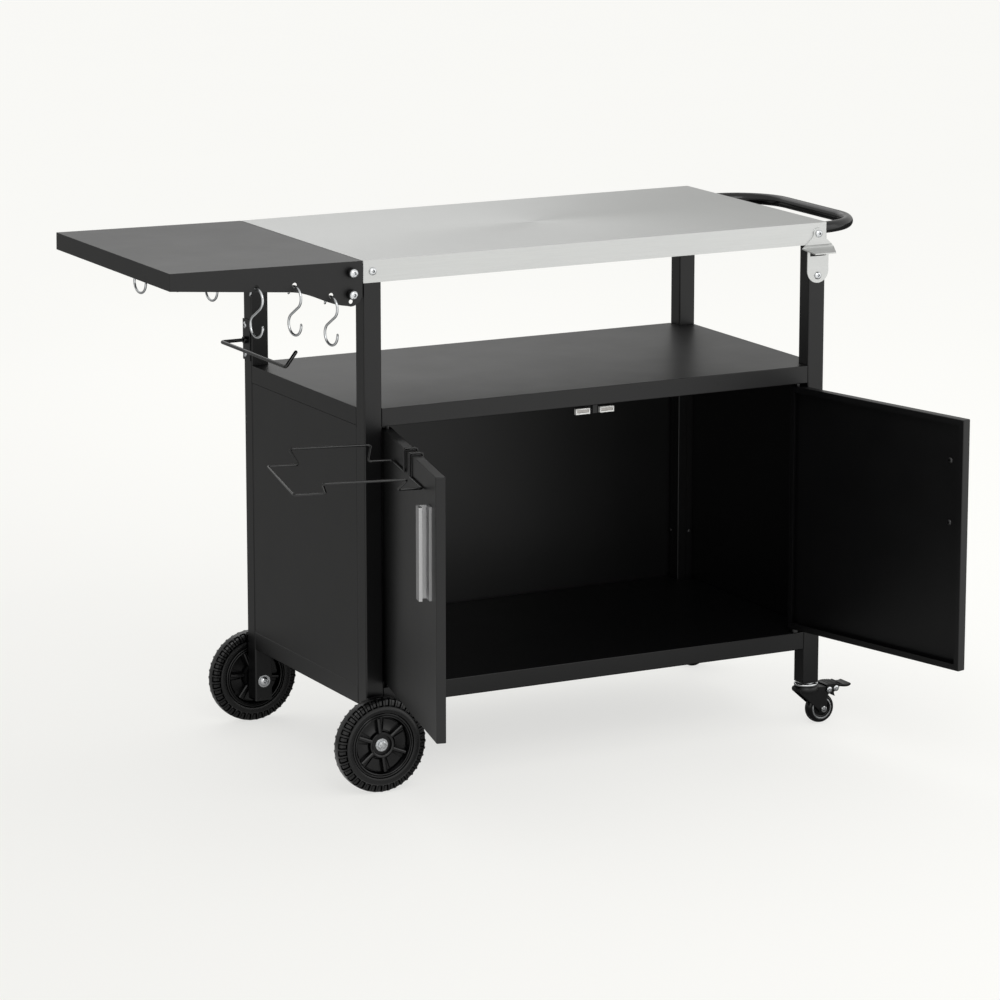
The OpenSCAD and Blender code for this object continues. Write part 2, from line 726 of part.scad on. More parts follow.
module opener_lip() intersection() {
    rotate([90, 0, 90]) translate([0, 0, -opener_w / 2]) linear_extrude(opener_w)
        polygon([[leg_in - opener_t / 2, -opener_drop - opener_t], [leg_in - opener_t / 2, -opener_drop],
            [-opener_out, -opener_drop - opener_fall], [-opener_out, -opener_drop - opener_fall - opener_t]]);
    translate([0, 0, -2 * opener_w]) linear_extrude(2 * opener_w)
        polygon([[-opener_w / 2, leg_in], [-opener_w / 2, 0], [-opener_lip_w / 2, -opener_out],
            [opener_lip_w / 2, -opener_out], [opener_w / 2, 0], [opener_w / 2, leg_in]]);
}
module bottle_opener() cart() color(steel) difference() {
    translate([right_mid, 0, apron_mid]) {
        intersection() {
            rotate([90, 0, 0]) translate([0, 0, -opener_w]) linear_extrude(2 * opener_w) opener_front();
            rotate([90, 0, 90]) translate([0, 0, -opener_w]) linear_extrude(2 * opener_w) opener_side();
        }
        opener_lip();
    }
    at_apron_bolts() bolt_hole(apron_bolt);
    at_opener_bolt() bolt_hole(apron_bolt);
}

// The catch: a block with two framed magnets on a plate under the middle shelf's flange
catch_front = pin_y + door_d / 2 + magnet_gap;
catch_z = mid_under - catch_drop;
catch_len = catch_w + 2 * magnet_side + 2 * magnet_w;
module at_catch_screws() for (x = [-1, 1])
    translate([top_length / 2 + x * catch_len / 3, leg_in + return_d - small_screw[2] - seat_gap,
            mid_under - catch_plate])
        rotate([180, 0, 0]) children();
module at_magnets() for (x = [-1, 1])
    translate([top_length / 2 + x * (catch_w / 2 + magnet_side + magnet_w / 2), catch_front, catch_z])
        children();
module magnet_catch() cart() color(black) difference() {
    foot_y = leg_in + return_d - catch_foot;
    union() {
        translate([(top_length - catch_len) / 2, foot_y, mid_under - catch_plate])
            cube([catch_len, catch_foot, catch_plate]);
        translate([(top_length - catch_len) / 2, catch_front + magnet_d, catch_z])
            cube([catch_len, catch_plate, catch_drop]);
        translate([(top_length - catch_len) / 2, catch_front + magnet_d, mid_under - catch_plate])
            cube([catch_len, max(catch_plate, foot_y + catch_foot - catch_front - magnet_d), catch_plate]);
        translate([(top_length - catch_w) / 2, catch_front, catch_z])
            cube([catch_w, magnet_d + catch_plate, catch_drop]);
    }
    at_catch_screws() bolt_hole(small_screw);
}
module catch_magnets() cart() at_magnets() {
    color(white) difference() {
        translate([-magnet_w / 2, 0, 0]) cube([magnet_w, magnet_d, magnet_h]);
        translate([-magnet_w / 2 + magnet_frame, -over, magnet_frame])
            cube([magnet_w - 2 * magnet_frame, over + magnet_d / 2, magnet_h - 2 * magnet_frame]);
    }
    color(zinc) translate([-magnet_w / 2 + magnet_frame, magnet_frame / 2, magnet_frame])
        cube([magnet_w - 2 * magnet_frame, magnet_d / 2 - magnet_frame / 2, magnet_h - 2 * magnet_frame]);
}

// A door's own frame: its hinge pin, with X along the closed door and Y into the cart
module door_frame(right) at_right(right) translate([pin_x, pin_y, 0]) rotate([0, 0, -door_open]) children();
module door_outline() {
    r = door_corner_r;
    translate([r - pin_in, -door_d / 2]) square([door_w - r, door_d]);
    translate([-pin_in, r - door_d / 2]) square([r, door_d - 2 * r]);
    for (y = [-1, 1]) translate([r - pin_in, y * (door_d / 2 - r)]) circle(r);
}
module at_grip_screws() for (z = [-1, 1])
    translate([door_reach - grip_in - grip_w / 2, door_sheet - door_d / 2, grip_z + z * grip_screws / 2])
        rotate([-90, 0, 0]) children();
module door(right) cart() color(black) door_frame(right) difference() {
    union() {
        difference() {
            translate([0, 0, door_z0]) linear_extrude(door_z1 - door_z0) door_outline();
            translate([door_sheet - pin_in, door_sheet - door_d / 2, door_z0 + door_sheet])
                cube([door_w - 2 * door_sheet, door_d - 2 * door_sheet, door_z1 - door_z0 - 2 * door_sheet]);
            translate([door_lip - pin_in, 0, door_z0 + door_lip])
                cube([door_w - 2 * door_lip, door_d, door_z1 - door_z0 - 2 * door_lip]);
        }
        for (z = [door_z0, door_z1 - boss_h]) translate([0, 0, z]) cylinder(r = boss_r, h = boss_h);
    }
    for (z = [door_z0, door_z1]) translate([0, 0, z - 2 * boss_h]) cylinder(r = pin_r + fit, h = 4 * boss_h);
    at_grip_screws() bolt_hole(grip_screw);
}
module door_left() door(false);
module door_right() door(true);

// The hinge pins, with a head on the shelf's sheet, and the washers that carry the doors
module hinge_pins() cart() color(zinc) {
    at_hinge_pins(false) {
        translate([0, 0, -door_head - boss_h]) cylinder(r = pin_r, h = door_head + boss_h + shelf_sheet);
        translate([0, 0, shelf_sheet]) cylinder(r = pin_head_r, h = pin_head_h);
    }
    at_hinge_pins(true) {
        translate([0, 0, -shelf_sheet]) cylinder(r = pin_r, h = door_foot + boss_h + shelf_sheet);
        translate([0, 0, -shelf_sheet - pin_head_h]) cylinder(r = pin_head_r, h = pin_head_h);
    }
}
module hinge_washers() cart() color(plastic) at_hinge_pins(true)
    ring(hinge_washer_r, pin_r + fit, door_foot - run_gap);

// A door handle: a grooved bar, open towards the door's free edge
module door_handle(right) cart() color(alloy) door_frame(right) difference() {
    translate([door_reach - grip_in - grip_w, -door_d / 2, grip_z - grip_h / 2]) linear_extrude(grip_h) {
        translate([0, -grip_foot]) square([grip_w, grip_foot]);
        translate([0, grip_round - grip_out]) square([grip_web, grip_out - grip_round]);
        translate([grip_round, -grip_out]) square([grip_w - grip_round, grip_lip]);
        translate([grip_round, grip_round - grip_out]) circle(grip_round);
        translate([grip_web, -grip_out + grip_lip - grip_round]) square(grip_round);
    }
    at_grip_screws() bolt_hole(grip_screw);
}
module door_handle_left() door_handle(false);
module door_handle_right() door_handle(true);
module handle_screws(right) cart() color(zinc) door_frame(right) at_grip_screws() bolt(grip_screw);
module handle_screws_left() handle_screws(false);
module handle_screws_right() handle_screws(true);

// A wire swept along points, with its corners rounded
function unit(v) = v / norm(v);
function between(a, b, t) = a + (b - a) * t;
function bend(a, b, c, steps) = [for (k = [0 : steps]) let (t = k / steps)
    between(between(a, b, t), between(b, c, t), t)];
function rounded_path(p, bends) = [for (i = [0 : len(p) - 1])
    if (i == 0 || i == len(p) - 1) p[i]
    else let (u = unit(p[i - 1] - p[i]), v = unit(p[i + 1] - p[i]),
            half = acos(max(-1, min(1, u * v))) / 2,
            cutback = min(bends[i] / tan(half), norm(p[i - 1] - p[i]) / 2, norm(p[i + 1] - p[i]) / 2))
        each bend(p[i] + u * cutback, p[i], p[i] + v * cutback, bend_steps)];
function tangent(p, i) = unit(unit(p[min(i + 1, len(p) - 1)] - p[i == len(p) - 1 ? i - 1 : i])
    + unit(p[i == 0 ? 1 : i] - p[max(i - 1, 0)]));
function carried(n, t) = unit(n - t * (n * t));
function normals(p, n, i = 0) = i == len(p) ? [] :
    let (m = carried(n, tangent(p, i))) concat([m], normals(p, m, i + 1));
module wire(p, r, first) {
    n = normals(p, first);
    points = [for (i = [0 : len(p) - 1]) let (t = tangent(p, i), m = n[i], b = cross(t, m))
        for (k = [0 : wire_sides - 1]) let (a = 360 * k / wire_sides)
            p[i] + r * (m * cos(a) + b * sin(a))];
    last = (len(p) - 1) * wire_sides;
    polyhedron(points, concat(
        [[for (k = [0 : wire_sides - 1]) k]],
        [for (i = [0 : len(p) - 2], k = [0 : wire_sides - 1])
            let (a = i * wire_sides + k, b = i * wire_sides + (k + 1) % wire_sides)
            each [[a, a + wire_sides, b], [b, a + wire_sides, b + wire_sides]]],
        [[for (k = [wire_sides - 1 : -1 : 0]) last + k]]));
}

// The bag holder: one wire that hooks over the left door and carries a bag by its two ears
function bag_side(s) = let (
        face = -door_d / 2, y_out = face - bag_gap - bag_r, y_in = -y_out,
        top = door_z1 + bag_rest + bag_r, low = door_z1 - bag_drop, up = low + bag_ear_h,
        x1 = bag_mid + s * bag_uprights / 2, x2 = bag_mid + s * bag_w / 2, x3 = x2 + s * bag_ear_w)
    [[x1, y_in, door_z1 - bag_tail], [x1, y_in, top], [x1, y_out, top], [x1, y_out, low],
     [x2, y_out, low], [x2, face - bag_ear_in, low], [x3, face - bag_ear_in + bag_ear_h / 2, up],
     [x3, face - bag_ear_out, up], [x2, face - bag_ear_out + bag_ear_h / 2, low], [x2, face - bag_reach, low],
     [bag_mid, face - bag_reach, low]];
module bag_holder() cart() color(black) door_frame(false) {
    left = bag_side(-1);
    right = bag_side(1);
    path = concat([for (i = [0 : len(left) - 2]) left[i]], [for (i = [len(right) - 2 : -1 : 0]) right[i]]);
    bends = [for (i = [0 : len(path) - 1]) min(i, len(path) - 1 - i) <= 2 ? bag_over_r : bag_bend_r];
    wire(rounded_path(path, bends), bag_r, [1, 0, 0]);
}

// The towel holder: a rod on a plate, screwed to the left rear leg
towel_y = top_depth - leg_mid + towel_off;
module towel_plate() cart() color(black) difference() {
    translate([leg_in - towel_plate_t, top_depth - leg_in - towel_plate_w, towel_z - towel_plate_h / 2])
        cube([towel_plate_t, towel_plate_w, towel_plate_h]);
    at_towel_screws() bolt_hole(small_screw);
}
module towel_rod() cart() color(black) {
    root_x = leg_in - towel_plate_t;
    bar_x = root_x - towel_out;
    bend_y = towel_y - towel_bend_r;
    end_y = towel_y - towel_len + towel_bend_r;
    translate([root_x, towel_y, towel_z]) rotate([0, -90, 0]) {
        cylinder(r = towel_r, h = towel_out - towel_bend_r);
        cylinder(r = towel_collar_r, h = towel_collar_h);
    }
    translate([bar_x + towel_bend_r, bend_y, towel_z]) rotate([0, 0, 90])
        rotate_extrude(angle = 90) translate([towel_bend_r, 0]) circle(towel_r);
    translate([bar_x, end_y, towel_z]) rotate([-90, 0, 0]) cylinder(r = towel_r, h = bend_y - end_y);
    translate([bar_x, end_y, towel_z]) rotate([0, towel_lean - 90, 0]) {
        translate([towel_bend_r, 0, 0]) rotate([0, 0, 180])
            rotate_extrude(angle = 90) translate([towel_bend_r, 0]) circle(towel_r);
        translate([towel_bend_r, -towel_bend_r, 0]) rotate([0, 90, 0])
            cylinder(r = towel_r, h = towel_tip - towel_bend_r);
    }
}
module towel_screws() cart() color(zinc) at_towel_screws() bolt(small_screw);

// An S-hook: two loops of wire joined by a straight run, hung from its hole
module hook_arc(angle) rotate_extrude(angle = angle) translate([hook_loop_r, 0]) circle(hook_wire_r);
module hook(i, back) cart() color(steel) {
    hole = [-hook_x[i], -hook_depth[i]];
    x = hole[0] * cos(side_tilt) + hole[1] * sin(side_tilt);
    z = top_height - hole[0] * sin(side_tilt) + hole[1] * cos(side_tilt);
    cross_angle = asin(2 * hook_loop_r / hook_pitch);
    run = sqrt(pow(hook_pitch, 2) - pow(2 * hook_loop_r, 2));
    hang = hook_hole_r - hook_wire_r - seat_gap;
    translate([x, back ? top_depth - side_sheet / 2 : side_sheet / 2, z - hang]) rotate([0, 0, hook_yaw])
        rotate([90, 0, 90]) {
            translate([0, -hook_loop_r, 0]) rotate([0, 0, hook_start])
                hook_arc(180 + cross_angle - hook_start);
            translate([0, -hook_loop_r - hook_pitch, 0]) rotate([0, 0, -180 - hook_tip])
                hook_arc(180 + hook_tip + cross_angle);
            translate([0, -hook_loop_r - hook_pitch / 2, 0]) rotate([0, 0, 90 + cross_angle])
                translate([-run / 2 - hook_run_more, 0, 0]) rotate([0, 90, 0])
                    cylinder(r = hook_wire_r + joint_r_more, h = run + 2 * hook_run_more);
        }
}
module hook_front_1() hook(0, false);
module hook_front_2() hook(1, false);
module hook_front_3() hook(2, false);
module hook_rear_1() hook(0, true);
module hook_rear_2() hook(1, true);
module hook_rear_3() hook(2, true);

// A wheel's own frame: the middle of its outer face, with Z inwards along the axle
module wheel_frame(back) at_back(back) translate([leg_mid, -wheel_out, axle_z])
    rotate([-90, 0, 0]) children();
module tread_band(z, h, r, phase) {
    pitch = 360 / tread_blocks;
    // Each block's four corners: how far to its side, and how deep
    corners = [[-block_foot_share, tread_h], [-block_share, 0],
        [block_share, 0], [block_foot_share, tread_h]];
    translate([0, 0, z]) linear_extrude(h) polygon([for (i = [0 : tread_blocks - 1], c = corners)
        let (a = 90 + pitch * (i + phase + c[0]))
            [(r - c[1]) * cos(a), (r - c[1]) * sin(a)]]);
}
module wheel_tyre(back) cart() color(rubber) wheel_frame(back) {
    body_r = wheel_r - tread_h;
    difference() {
        union() {
            rotate_extrude() polygon([[rim_r, 0], [body_r - tyre_shoulder * 2, 0],
                [body_r - tyre_shoulder / 2, tyre_shoulder], [body_r, tyre_shoulder * 2],
                [body_r, wheel_w - tyre_shoulder * 2], [body_r - tyre_shoulder / 2, wheel_w - tyre_shoulder],
                [body_r - tyre_shoulder * 2, wheel_w], [rim_r, wheel_w]]);
            tread_band(wheel_w * (1 - crown_share) / 2, wheel_w * crown_share, wheel_r, 0);
            tread_band(tyre_shoulder, wheel_w - 2 * tyre_shoulder, wheel_r - tread_h / 2, 1 / 2);
        }
        translate([0, 0, -over]) cylinder(r = rim_r, h = wheel_w + 2 * over);
    }
}
module wheel_tyre_front() wheel_tyre(false);
module wheel_tyre_rear() wheel_tyre(true);
module wheel_hub(back) cart() color(plastic) wheel_frame(back) difference() {
    union() {
        translate([0, 0, rim_in]) ring(rim_r, rim_r - rim_wall, wheel_w - 2 * rim_in);
        translate([0, 0, (wheel_w - web_t) / 2]) cylinder(r = rim_r - rim_wall / 2, h = web_t);
        for (i = [0 : spokes - 1]) rotate([0, 0, spoke_turn + i * 360 / spokes])
            translate([hub_r / 2, -spoke_w / 2, spoke_in])
                cube([rim_r - rim_wall - hub_r / 2 + rim_in, spoke_w, wheel_w - 2 * spoke_in]);
        translate([0, 0, hub_in]) cylinder(r = hub_r, h = wheel_w - hub_in - run_gap);
    }
    translate([0, 0, -over]) cylinder(r = axle_r + fit, h = wheel_w + 2 * over);
    translate([0, 0, -over]) cylinder(r = axle_washer_r + hub_clear, h = over + washer_seat + run_gap);
}
module wheel_hub_front() wheel_hub(false);
module wheel_hub_rear() wheel_hub(true);
module axle_bolts() cart() color(zinc) at_axles() bolt(axle_bolt);
module axle_nuts() cart() color(zinc) {
    at_axles() translate([0, 0, -axle_washer_t]) ring(axle_washer_r, axle_r + fit, axle_washer_t);
    both_sides() wheel_frame(false) {
        translate([0, 0, wheel_w]) ring(axle_spacer_r, axle_r + fit, wheel_out + leg_in - wheel_w);
        translate([0, 0, washer_seat - axle_washer_t]) ring(axle_washer_r, axle_r + fit, axle_washer_t);
        translate([0, 0, washer_seat - axle_washer_t - nut_h]) hex_nut(axle_r, nut_h);
    }
}

// A caster's own frame: the leg's axis on the floor
module caster_frame(back) at_back(back) translate([right_mid, leg_mid, 0]) children();
race_z = caster_h - race_h;
fork_z = race_z - seat_gap - fork_roof;
cheek_y = caster_w / 2 + cheek_gap;
module caster_races() cart() color(steel) both_sides() caster_frame(false)
    translate([0, 0, race_z]) difference() {
        union() {
            cylinder(r = race_r, h = race_h * 2 / 3);
            cylinder(r = race_r * 3 / 4, h = race_h);
        }
        translate([0, 0, -over]) cylinder(r = stem_r + fit, h = race_h + 2 * over);
    }
module caster_stems() cart() color(zinc) both_sides() caster_frame(false) {
    translate([0, 0, fork_z - seat_gap]) cylinder(r = stem_r, h = caster_h - fork_z + seat_gap + stem_l);
    translate([0, 0, fork_z - seat_gap - stem_head_h]) cylinder(r = stem_head_r, h = stem_head_h);
}
module cheek_outline() {
    translate([caster_trail, caster_r]) circle(cheek_r);
    polygon([[-race_r * cheek_share, fork_z + fork_t], [-race_r * cheek_share, fork_z - fork_t],
        [caster_trail - cheek_r, caster_r], [caster_trail + cheek_r, caster_r],
        [pedal_pin_x + pedal_pin_r * 2, pedal_pin_z - pedal_pin_r * 2],
        [pedal_pin_x + pedal_pin_r * 2, pedal_pin_z + pedal_pin_r * 2],
        [pedal_pin_x - pedal_pin_r * 2, fork_z + fork_t]]);
}
module caster_fork(back) cart() color(black) caster_frame(back) difference() {
    union() {
        translate([0, 0, fork_z]) cylinder(r = race_r - fork_t / 2, h = fork_roof);
        translate([-race_r * cheek_share, -cheek_y - fork_t, fork_z])
            cube([pedal_pin_x - pedal_pin_r * 2 + race_r * cheek_share, 2 * cheek_y + 2 * fork_t, fork_t]);
        for (y = [-cheek_y, cheek_y + fork_t])
            translate([0, y, 0]) rotate([90, 0, 0]) linear_extrude(fork_t) cheek_outline();
    }
    translate([0, 0, fork_z - over]) cylinder(r = stem_r + fit, h = fork_roof + 2 * over);
    translate([caster_trail, 0, caster_r]) rotate([90, 0, 0])
        cylinder(r = caster_axle_r + fit, h = 4 * caster_w, center = true);
    translate([pedal_pin_x, 0, pedal_pin_z]) rotate([90, 0, 0])
        cylinder(r = pedal_pin_r + fit, h = 4 * caster_w, center = true);
}
module caster_fork_front() caster_fork(false);
module caster_fork_rear() caster_fork(true);
module caster_pins(back) cart() color(zinc) caster_frame(back) {
    ends = cheek_y + fork_t;
    for (p = [[caster_trail, caster_r, caster_axle_r, ends + run_gap],
            [pedal_pin_x, pedal_pin_z, pedal_pin_r, ends + pedal_t + 2 * run_gap]])
        translate([p[0], 0, p[1]]) rotate([90, 0, 0]) {
            cylinder(r = p[2], h = 2 * p[3], center = true);
            for (s = [-1, 1]) translate([0, 0, s * (p[3] + pin_end_h / 2)])
                cylinder(r = p[2] * pin_end_share, h = pin_end_h, center = true);
        }
}
module caster_pins_front() caster_pins(false);
module caster_pins_rear() caster_pins(true);
module caster_axle(back) caster_frame(back) translate([caster_trail, 0, caster_r])
    rotate([90, 0, 0]) children();
module caster_tread(back) cart() color(rubber) caster_axle(back) rotate_extrude()
    polygon([[core_r, -caster_w / 2], [caster_r - tread_edge, -caster_w / 2],
        [caster_r, -caster_w / 2 + tread_edge], [caster_r, caster_w / 2 - tread_edge],
        [caster_r - tread_edge, caster_w / 2], [core_r, caster_w / 2]]);
module caster_tread_front() caster_tread(false);
module caster_tread_rear() caster_tread(true);
module caster_core(back) cart() color(zinc) caster_axle(back) difference() {
    union() {
        cylinder(r = core_r, h = caster_w - 2 * tread_edge, center = true);
        cylinder(r = core_r * core_hub_share, h = caster_w, center = true);
    }
    cylinder(r = caster_axle_r + fit, h = 2 * caster_w, center = true);
}
module caster_core_front() caster_core(false);
module caster_core_rear() caster_core(true);

// A brake pedal: a ribbed cap on the fork's cheeks with a shoe over the wheel
module pedal_side() {
    circle(pedal_eye_r);
    polygon([[0, -pedal_eye_r], [pedal_l, 0], [pedal_l, pedal_rise], [0, pedal_rise]]);
}
module caster_pedal(back) cart() color(black) caster_frame(back)
    translate([pedal_pin_x, 0, pedal_pin_z]) difference() {
        side_y = cheek_y + fork_t + run_gap;
        full_w = 2 * side_y + 2 * pedal_t;
        union() {
            for (y = [-side_y, side_y + pedal_t])
                translate([0, y, 0]) rotate([90, 0, 0]) linear_extrude(pedal_t) pedal_side();
            translate([pedal_l * pedal_share, -full_w / 2, pedal_rise - pedal_t])
                cube([pedal_l - pedal_l * pedal_share, full_w, pedal_t]);
            for (i = [1 : pedal_ribs]) translate([pedal_l - i * rib_pitch, -full_w / 2, pedal_rise])
                cube([rib_pitch / 2, full_w, rib_pitch / 2]);
            translate([shoe_x, -caster_w / 2, -shoe_drop])
                cube([pedal_t, caster_w, shoe_drop + pedal_rise - pedal_t / 2]);
            translate([shoe_x, -full_w / 2, pedal_rise - 2 * pedal_t])
                cube([pedal_l * pedal_share - shoe_x + pedal_t, full_w, 2 * pedal_t]);
        }
        rotate([90, 0, 0]) cylinder(r = pedal_pin_r + fit, h = 4 * caster_w, center = true);
    }
module caster_pedal_front() caster_pedal(false);
module caster_pedal_rear() caster_pedal(true);

leg_front_left();
leg_front_right();
leg_rear_left();
leg_rear_right();
leg_plugs();
worktop();
frame_bolts();
side_shelf();
side_shelf_brackets();
side_shelf_spacers();
side_shelf_bolts();
mid_shelf();
lower_shelf();
shelf_screws();
side_panel_left();
side_panel_right();
back_panel();
panel_screws();
push_handle();
handle_plugs();
handle_bolts();
bottle_opener();
magnet_catch();
catch_magnets();
door_left();
door_right();
hinge_pins();
hinge_washers();
door_handle_left();
door_handle_right();
handle_screws_left();
handle_screws_right();
bag_holder();
towel_plate();
towel_rod();
towel_screws();
hook_front_1();
hook_front_2();
hook_front_3();
hook_rear_1();
hook_rear_2();
hook_rear_3();
wheel_tyre_front();
wheel_tyre_rear();
wheel_hub_front();
wheel_hub_rear();
axle_bolts();
axle_nuts();
caster_races();
caster_stems();
caster_fork_front();
caster_fork_rear();
caster_pins_front();
caster_pins_rear();
caster_tread_front();
caster_tread_rear();
caster_core_front();
caster_core_rear();
caster_pedal_front();
caster_pedal_rear();
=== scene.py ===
"""A grill cart with storage: steel, powder coat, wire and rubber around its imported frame."""
import json
import math

import bmesh
import bpy
from bpy.props import FloatProperty, IntProperty, PointerProperty, StringProperty
from bpy.types import Operator, Panel, PropertyGroup
from mathutils import Matrix, Vector

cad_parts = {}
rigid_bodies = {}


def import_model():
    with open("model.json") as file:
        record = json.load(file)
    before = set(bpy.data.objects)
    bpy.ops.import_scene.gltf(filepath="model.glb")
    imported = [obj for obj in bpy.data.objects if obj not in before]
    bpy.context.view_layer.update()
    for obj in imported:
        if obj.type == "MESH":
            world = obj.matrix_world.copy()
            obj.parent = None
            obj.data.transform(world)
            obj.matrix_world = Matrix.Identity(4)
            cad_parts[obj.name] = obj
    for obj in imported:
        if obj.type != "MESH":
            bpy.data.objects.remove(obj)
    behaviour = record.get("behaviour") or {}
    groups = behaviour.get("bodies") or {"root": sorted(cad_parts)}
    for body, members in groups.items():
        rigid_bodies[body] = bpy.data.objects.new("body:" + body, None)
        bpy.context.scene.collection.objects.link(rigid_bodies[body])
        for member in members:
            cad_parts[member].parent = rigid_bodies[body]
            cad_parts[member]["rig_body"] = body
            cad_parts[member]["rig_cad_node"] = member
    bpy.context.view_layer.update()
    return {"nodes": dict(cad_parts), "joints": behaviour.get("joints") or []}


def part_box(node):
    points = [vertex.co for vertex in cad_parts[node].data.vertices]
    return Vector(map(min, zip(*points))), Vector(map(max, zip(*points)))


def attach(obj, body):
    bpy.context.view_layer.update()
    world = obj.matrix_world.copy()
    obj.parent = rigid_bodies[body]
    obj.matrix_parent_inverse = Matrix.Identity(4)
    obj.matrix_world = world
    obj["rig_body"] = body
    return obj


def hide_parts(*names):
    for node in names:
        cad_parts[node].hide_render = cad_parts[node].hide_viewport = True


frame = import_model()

bl_info = {
    "name": "Grill Cart with Storage",
    "version": (1, 0, 0),
    "blender": (4, 5, 0),
    "location": "View3D > Sidebar > Grill Cart",
    "description": "Dresses the frame of a grill cart in steel, powder coat, wire and rubber",
    "category": "Object",
}

MM = 0.001
SMOOTH_ANGLE = math.radians(35)
Z = Vector((0, 0, 1))

# Where the cart's parts lie, read off the frame. Lengths here without a unit are in millimetres
TOP_LOW, TOP_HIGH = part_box("worktop")
LEG_MID = 16.5              # From the worktop's edges to the middle of a leg
DEPTH = (TOP_HIGH.y - TOP_LOW.y) / MM
RIGHT_MID = (TOP_HIGH.x - TOP_LOW.x) / MM - LEG_MID
DOOR_OPEN = 104             # Degrees from closed to rest
WHEEL_RADIUS = 76.2
WHEEL_WIDTH = 28
WHEEL_OUT = 29              # From the worktop's edge to a wheel's outer face
CASTER_RADIUS = 25
CASTER_WIDTH = 20
CASTER_TRAIL = 26           # From a caster's stem to its wheel's axle

# Points nearer than these are one, in a new mesh and in a CAD node's loose triangles
MERGE = 0.002 * MM
CAD_MERGE = 0.004 * MM
SAME_PLANE = 0.99999        # Least cosine between the normals of two faces in one plane
FOLD = math.radians(40)     # Edges that turn by more are a sheet's folds

# Fasteners in millimetres: shank radius, length, head radius, head height, radius of the hex socket
APRON_BOLT = (3, 12, 6.3, 3.4, 2.7)
SHELF_BOLT = (4, 30, 7, 4, 3.3)
SMALL_SCREW = (2.2, 7, 4.2, 2.2, 1.7)
PLATE_SCREW = (2.2, 7, 5.6, 2.2, 2)
GRIP_SCREW = (2, 4.4, 5, 2.6, 1.7)
HANDLE_BOLT = (4, 10, 6.8, 4, 2.9)
AXLE_BOLT = (4, 61, 7.5, 4.5, 3.4)
M8_NUT = (7, 5.5, 4.05)     # Radius over its corners, height and bore

# The camera, fitted to the cart's corners in the photograph: metres, radians, millimetres of lens
CAMERA_PLACE = (-3.20336312, -6.03712903, 1.92963018)
CAMERA_DIP = 0.217241725
CAMERA_YAW = 0.481987312
CAMERA_LENS = 158.525456
CAMERA_SHIFT = (-0.00027, -0.00079)


# ---------------------------------------------------------------- sizes and colours

class CartSizes(PropertyGroup):
    """Sizes of the details that the looks add."""
    worktop_fold: FloatProperty(
        name="Worktop fold", description="Radius of the worktop's folded edge",
        default=1.4 * MM, unit="LENGTH")
    sheet_fold: FloatProperty(
        name="Sheet fold", description="Radius of the folded edges of the black sheets",
        default=1.3 * MM, unit="LENGTH")
    small_edge: FloatProperty(
        name="Small edge", description="Radius of the edges of small parts",
        default=0.5 * MM, unit="LENGTH")
    tread_pitches: IntProperty(
        name="Tread pitches", description="Repeats of the tread round a wheel", default=40, min=24)
    tread_depth: FloatProperty(
        name="Tread depth", description="Depth of the windows in the tread",
        default=4.4 * MM, unit="LENGTH")
    pad_rise: FloatProperty(
        name="Pad rise", description="Height of the pad in a window of the tread",
        default=2.7 * MM, unit="LENGTH")


class CartColours(PropertyGroup):
    """Colours of the cart's finishes, as sRGB hex values."""
    stainless: StringProperty(
        name="Stainless", description="Brushed stainless steel", default="#C6C7C6")
    coat: StringProperty(name="Powder coat", description="Black powder coat", default="#060607")
    wire: StringProperty(name="Wire", description="Polished steel wire", default="#C6C8CA")
    zinc: StringProperty(name="Zinc", description="Bright zinc plate", default="#DADCDE")
    chrome: StringProperty(name="Chrome", description="Chrome plate", default="#ECEDEF")
    alloy: StringProperty(name="Aluminium", description="Anodised aluminium", default="#B2B2B3")
    moulded: StringProperty(name="Moulding", description="Black moulded plastic", default="#040405")
    rubber: StringProperty(name="Rubber", description="Tread rubber", default="#050506")
    frame_white: StringProperty(
        name="Magnet frame", description="White moulded plastic", default="#F8F8F6")
    magnet: StringProperty(name="Magnet", description="Nickel-plated magnet", default="#A19E9B")
    floor: StringProperty(name="Floor", description="Pale floor", default="#F3F2EE")
    surroundings: StringProperty(
        name="Surroundings", description="Pale studio walls", default="#F7F7F5")


def sizes():
    return bpy.context.scene.cart_sizes


def colours():
    return bpy.context.scene.cart_colours


# ---------------------------------------------------------------- materials

PATTERN = (0.3, 0.7)        # Nearly all of a noise's values lie between these


def linear(code):
    """An sRGB hex colour as linear RGBA."""
    parts = (int(code[i:i + 2], 16) / 255 for i in (1, 3, 5))
    return (*(c / 12.92 if c <= 0.04045 else ((c + 0.055) / 1.055) ** 2.4 for c in parts), 1.0)


def shade(code, factor):
    """A hex colour made lighter or darker by a factor, as linear RGBA."""
    return tuple(min(1, c * factor) for c in linear(code)[:3]) + (1.0,)


def add_node(tree, kind, inputs=(), **settings):
    """Adds a node with its settings. Its inputs, in order or by name, are values or sockets, or
    nodes that stand for their first output."""
    made = tree.nodes.new("ShaderNode" + kind)
    for key, value in settings.items():
        setattr(made, key, value)
    for key, value in inputs.items() if isinstance(inputs, dict) else enumerate(inputs):
        if isinstance(value, bpy.types.Node):
            value = value.outputs[0]
        if isinstance(value, bpy.types.NodeSocket):
            tree.links.new(value, made.inputs[key])
        else:
            made.inputs[key].default_value = value
    return made


def emptied(owner):
    """The node tree of a material or a world, with nothing in it."""
    owner.use_nodes = True
    owner.node_tree.nodes.clear()
    return owner.node_tree


def blank(name):
    """An empty material, its node tree and the place of a point on the piece."""
    made = bpy.data.materials.new(name)
    tree = emptied(made)
    return made, tree, add_node(tree, "TexCoord").outputs["Object"]


def lumps(where, size, detail=2.0, roughness=0.55):
    """What a noise needs for lumps about `size` metres across."""
    return {"Vector": where, "Scale": 1 / size, "Detail": detail, "Roughness": roughness}


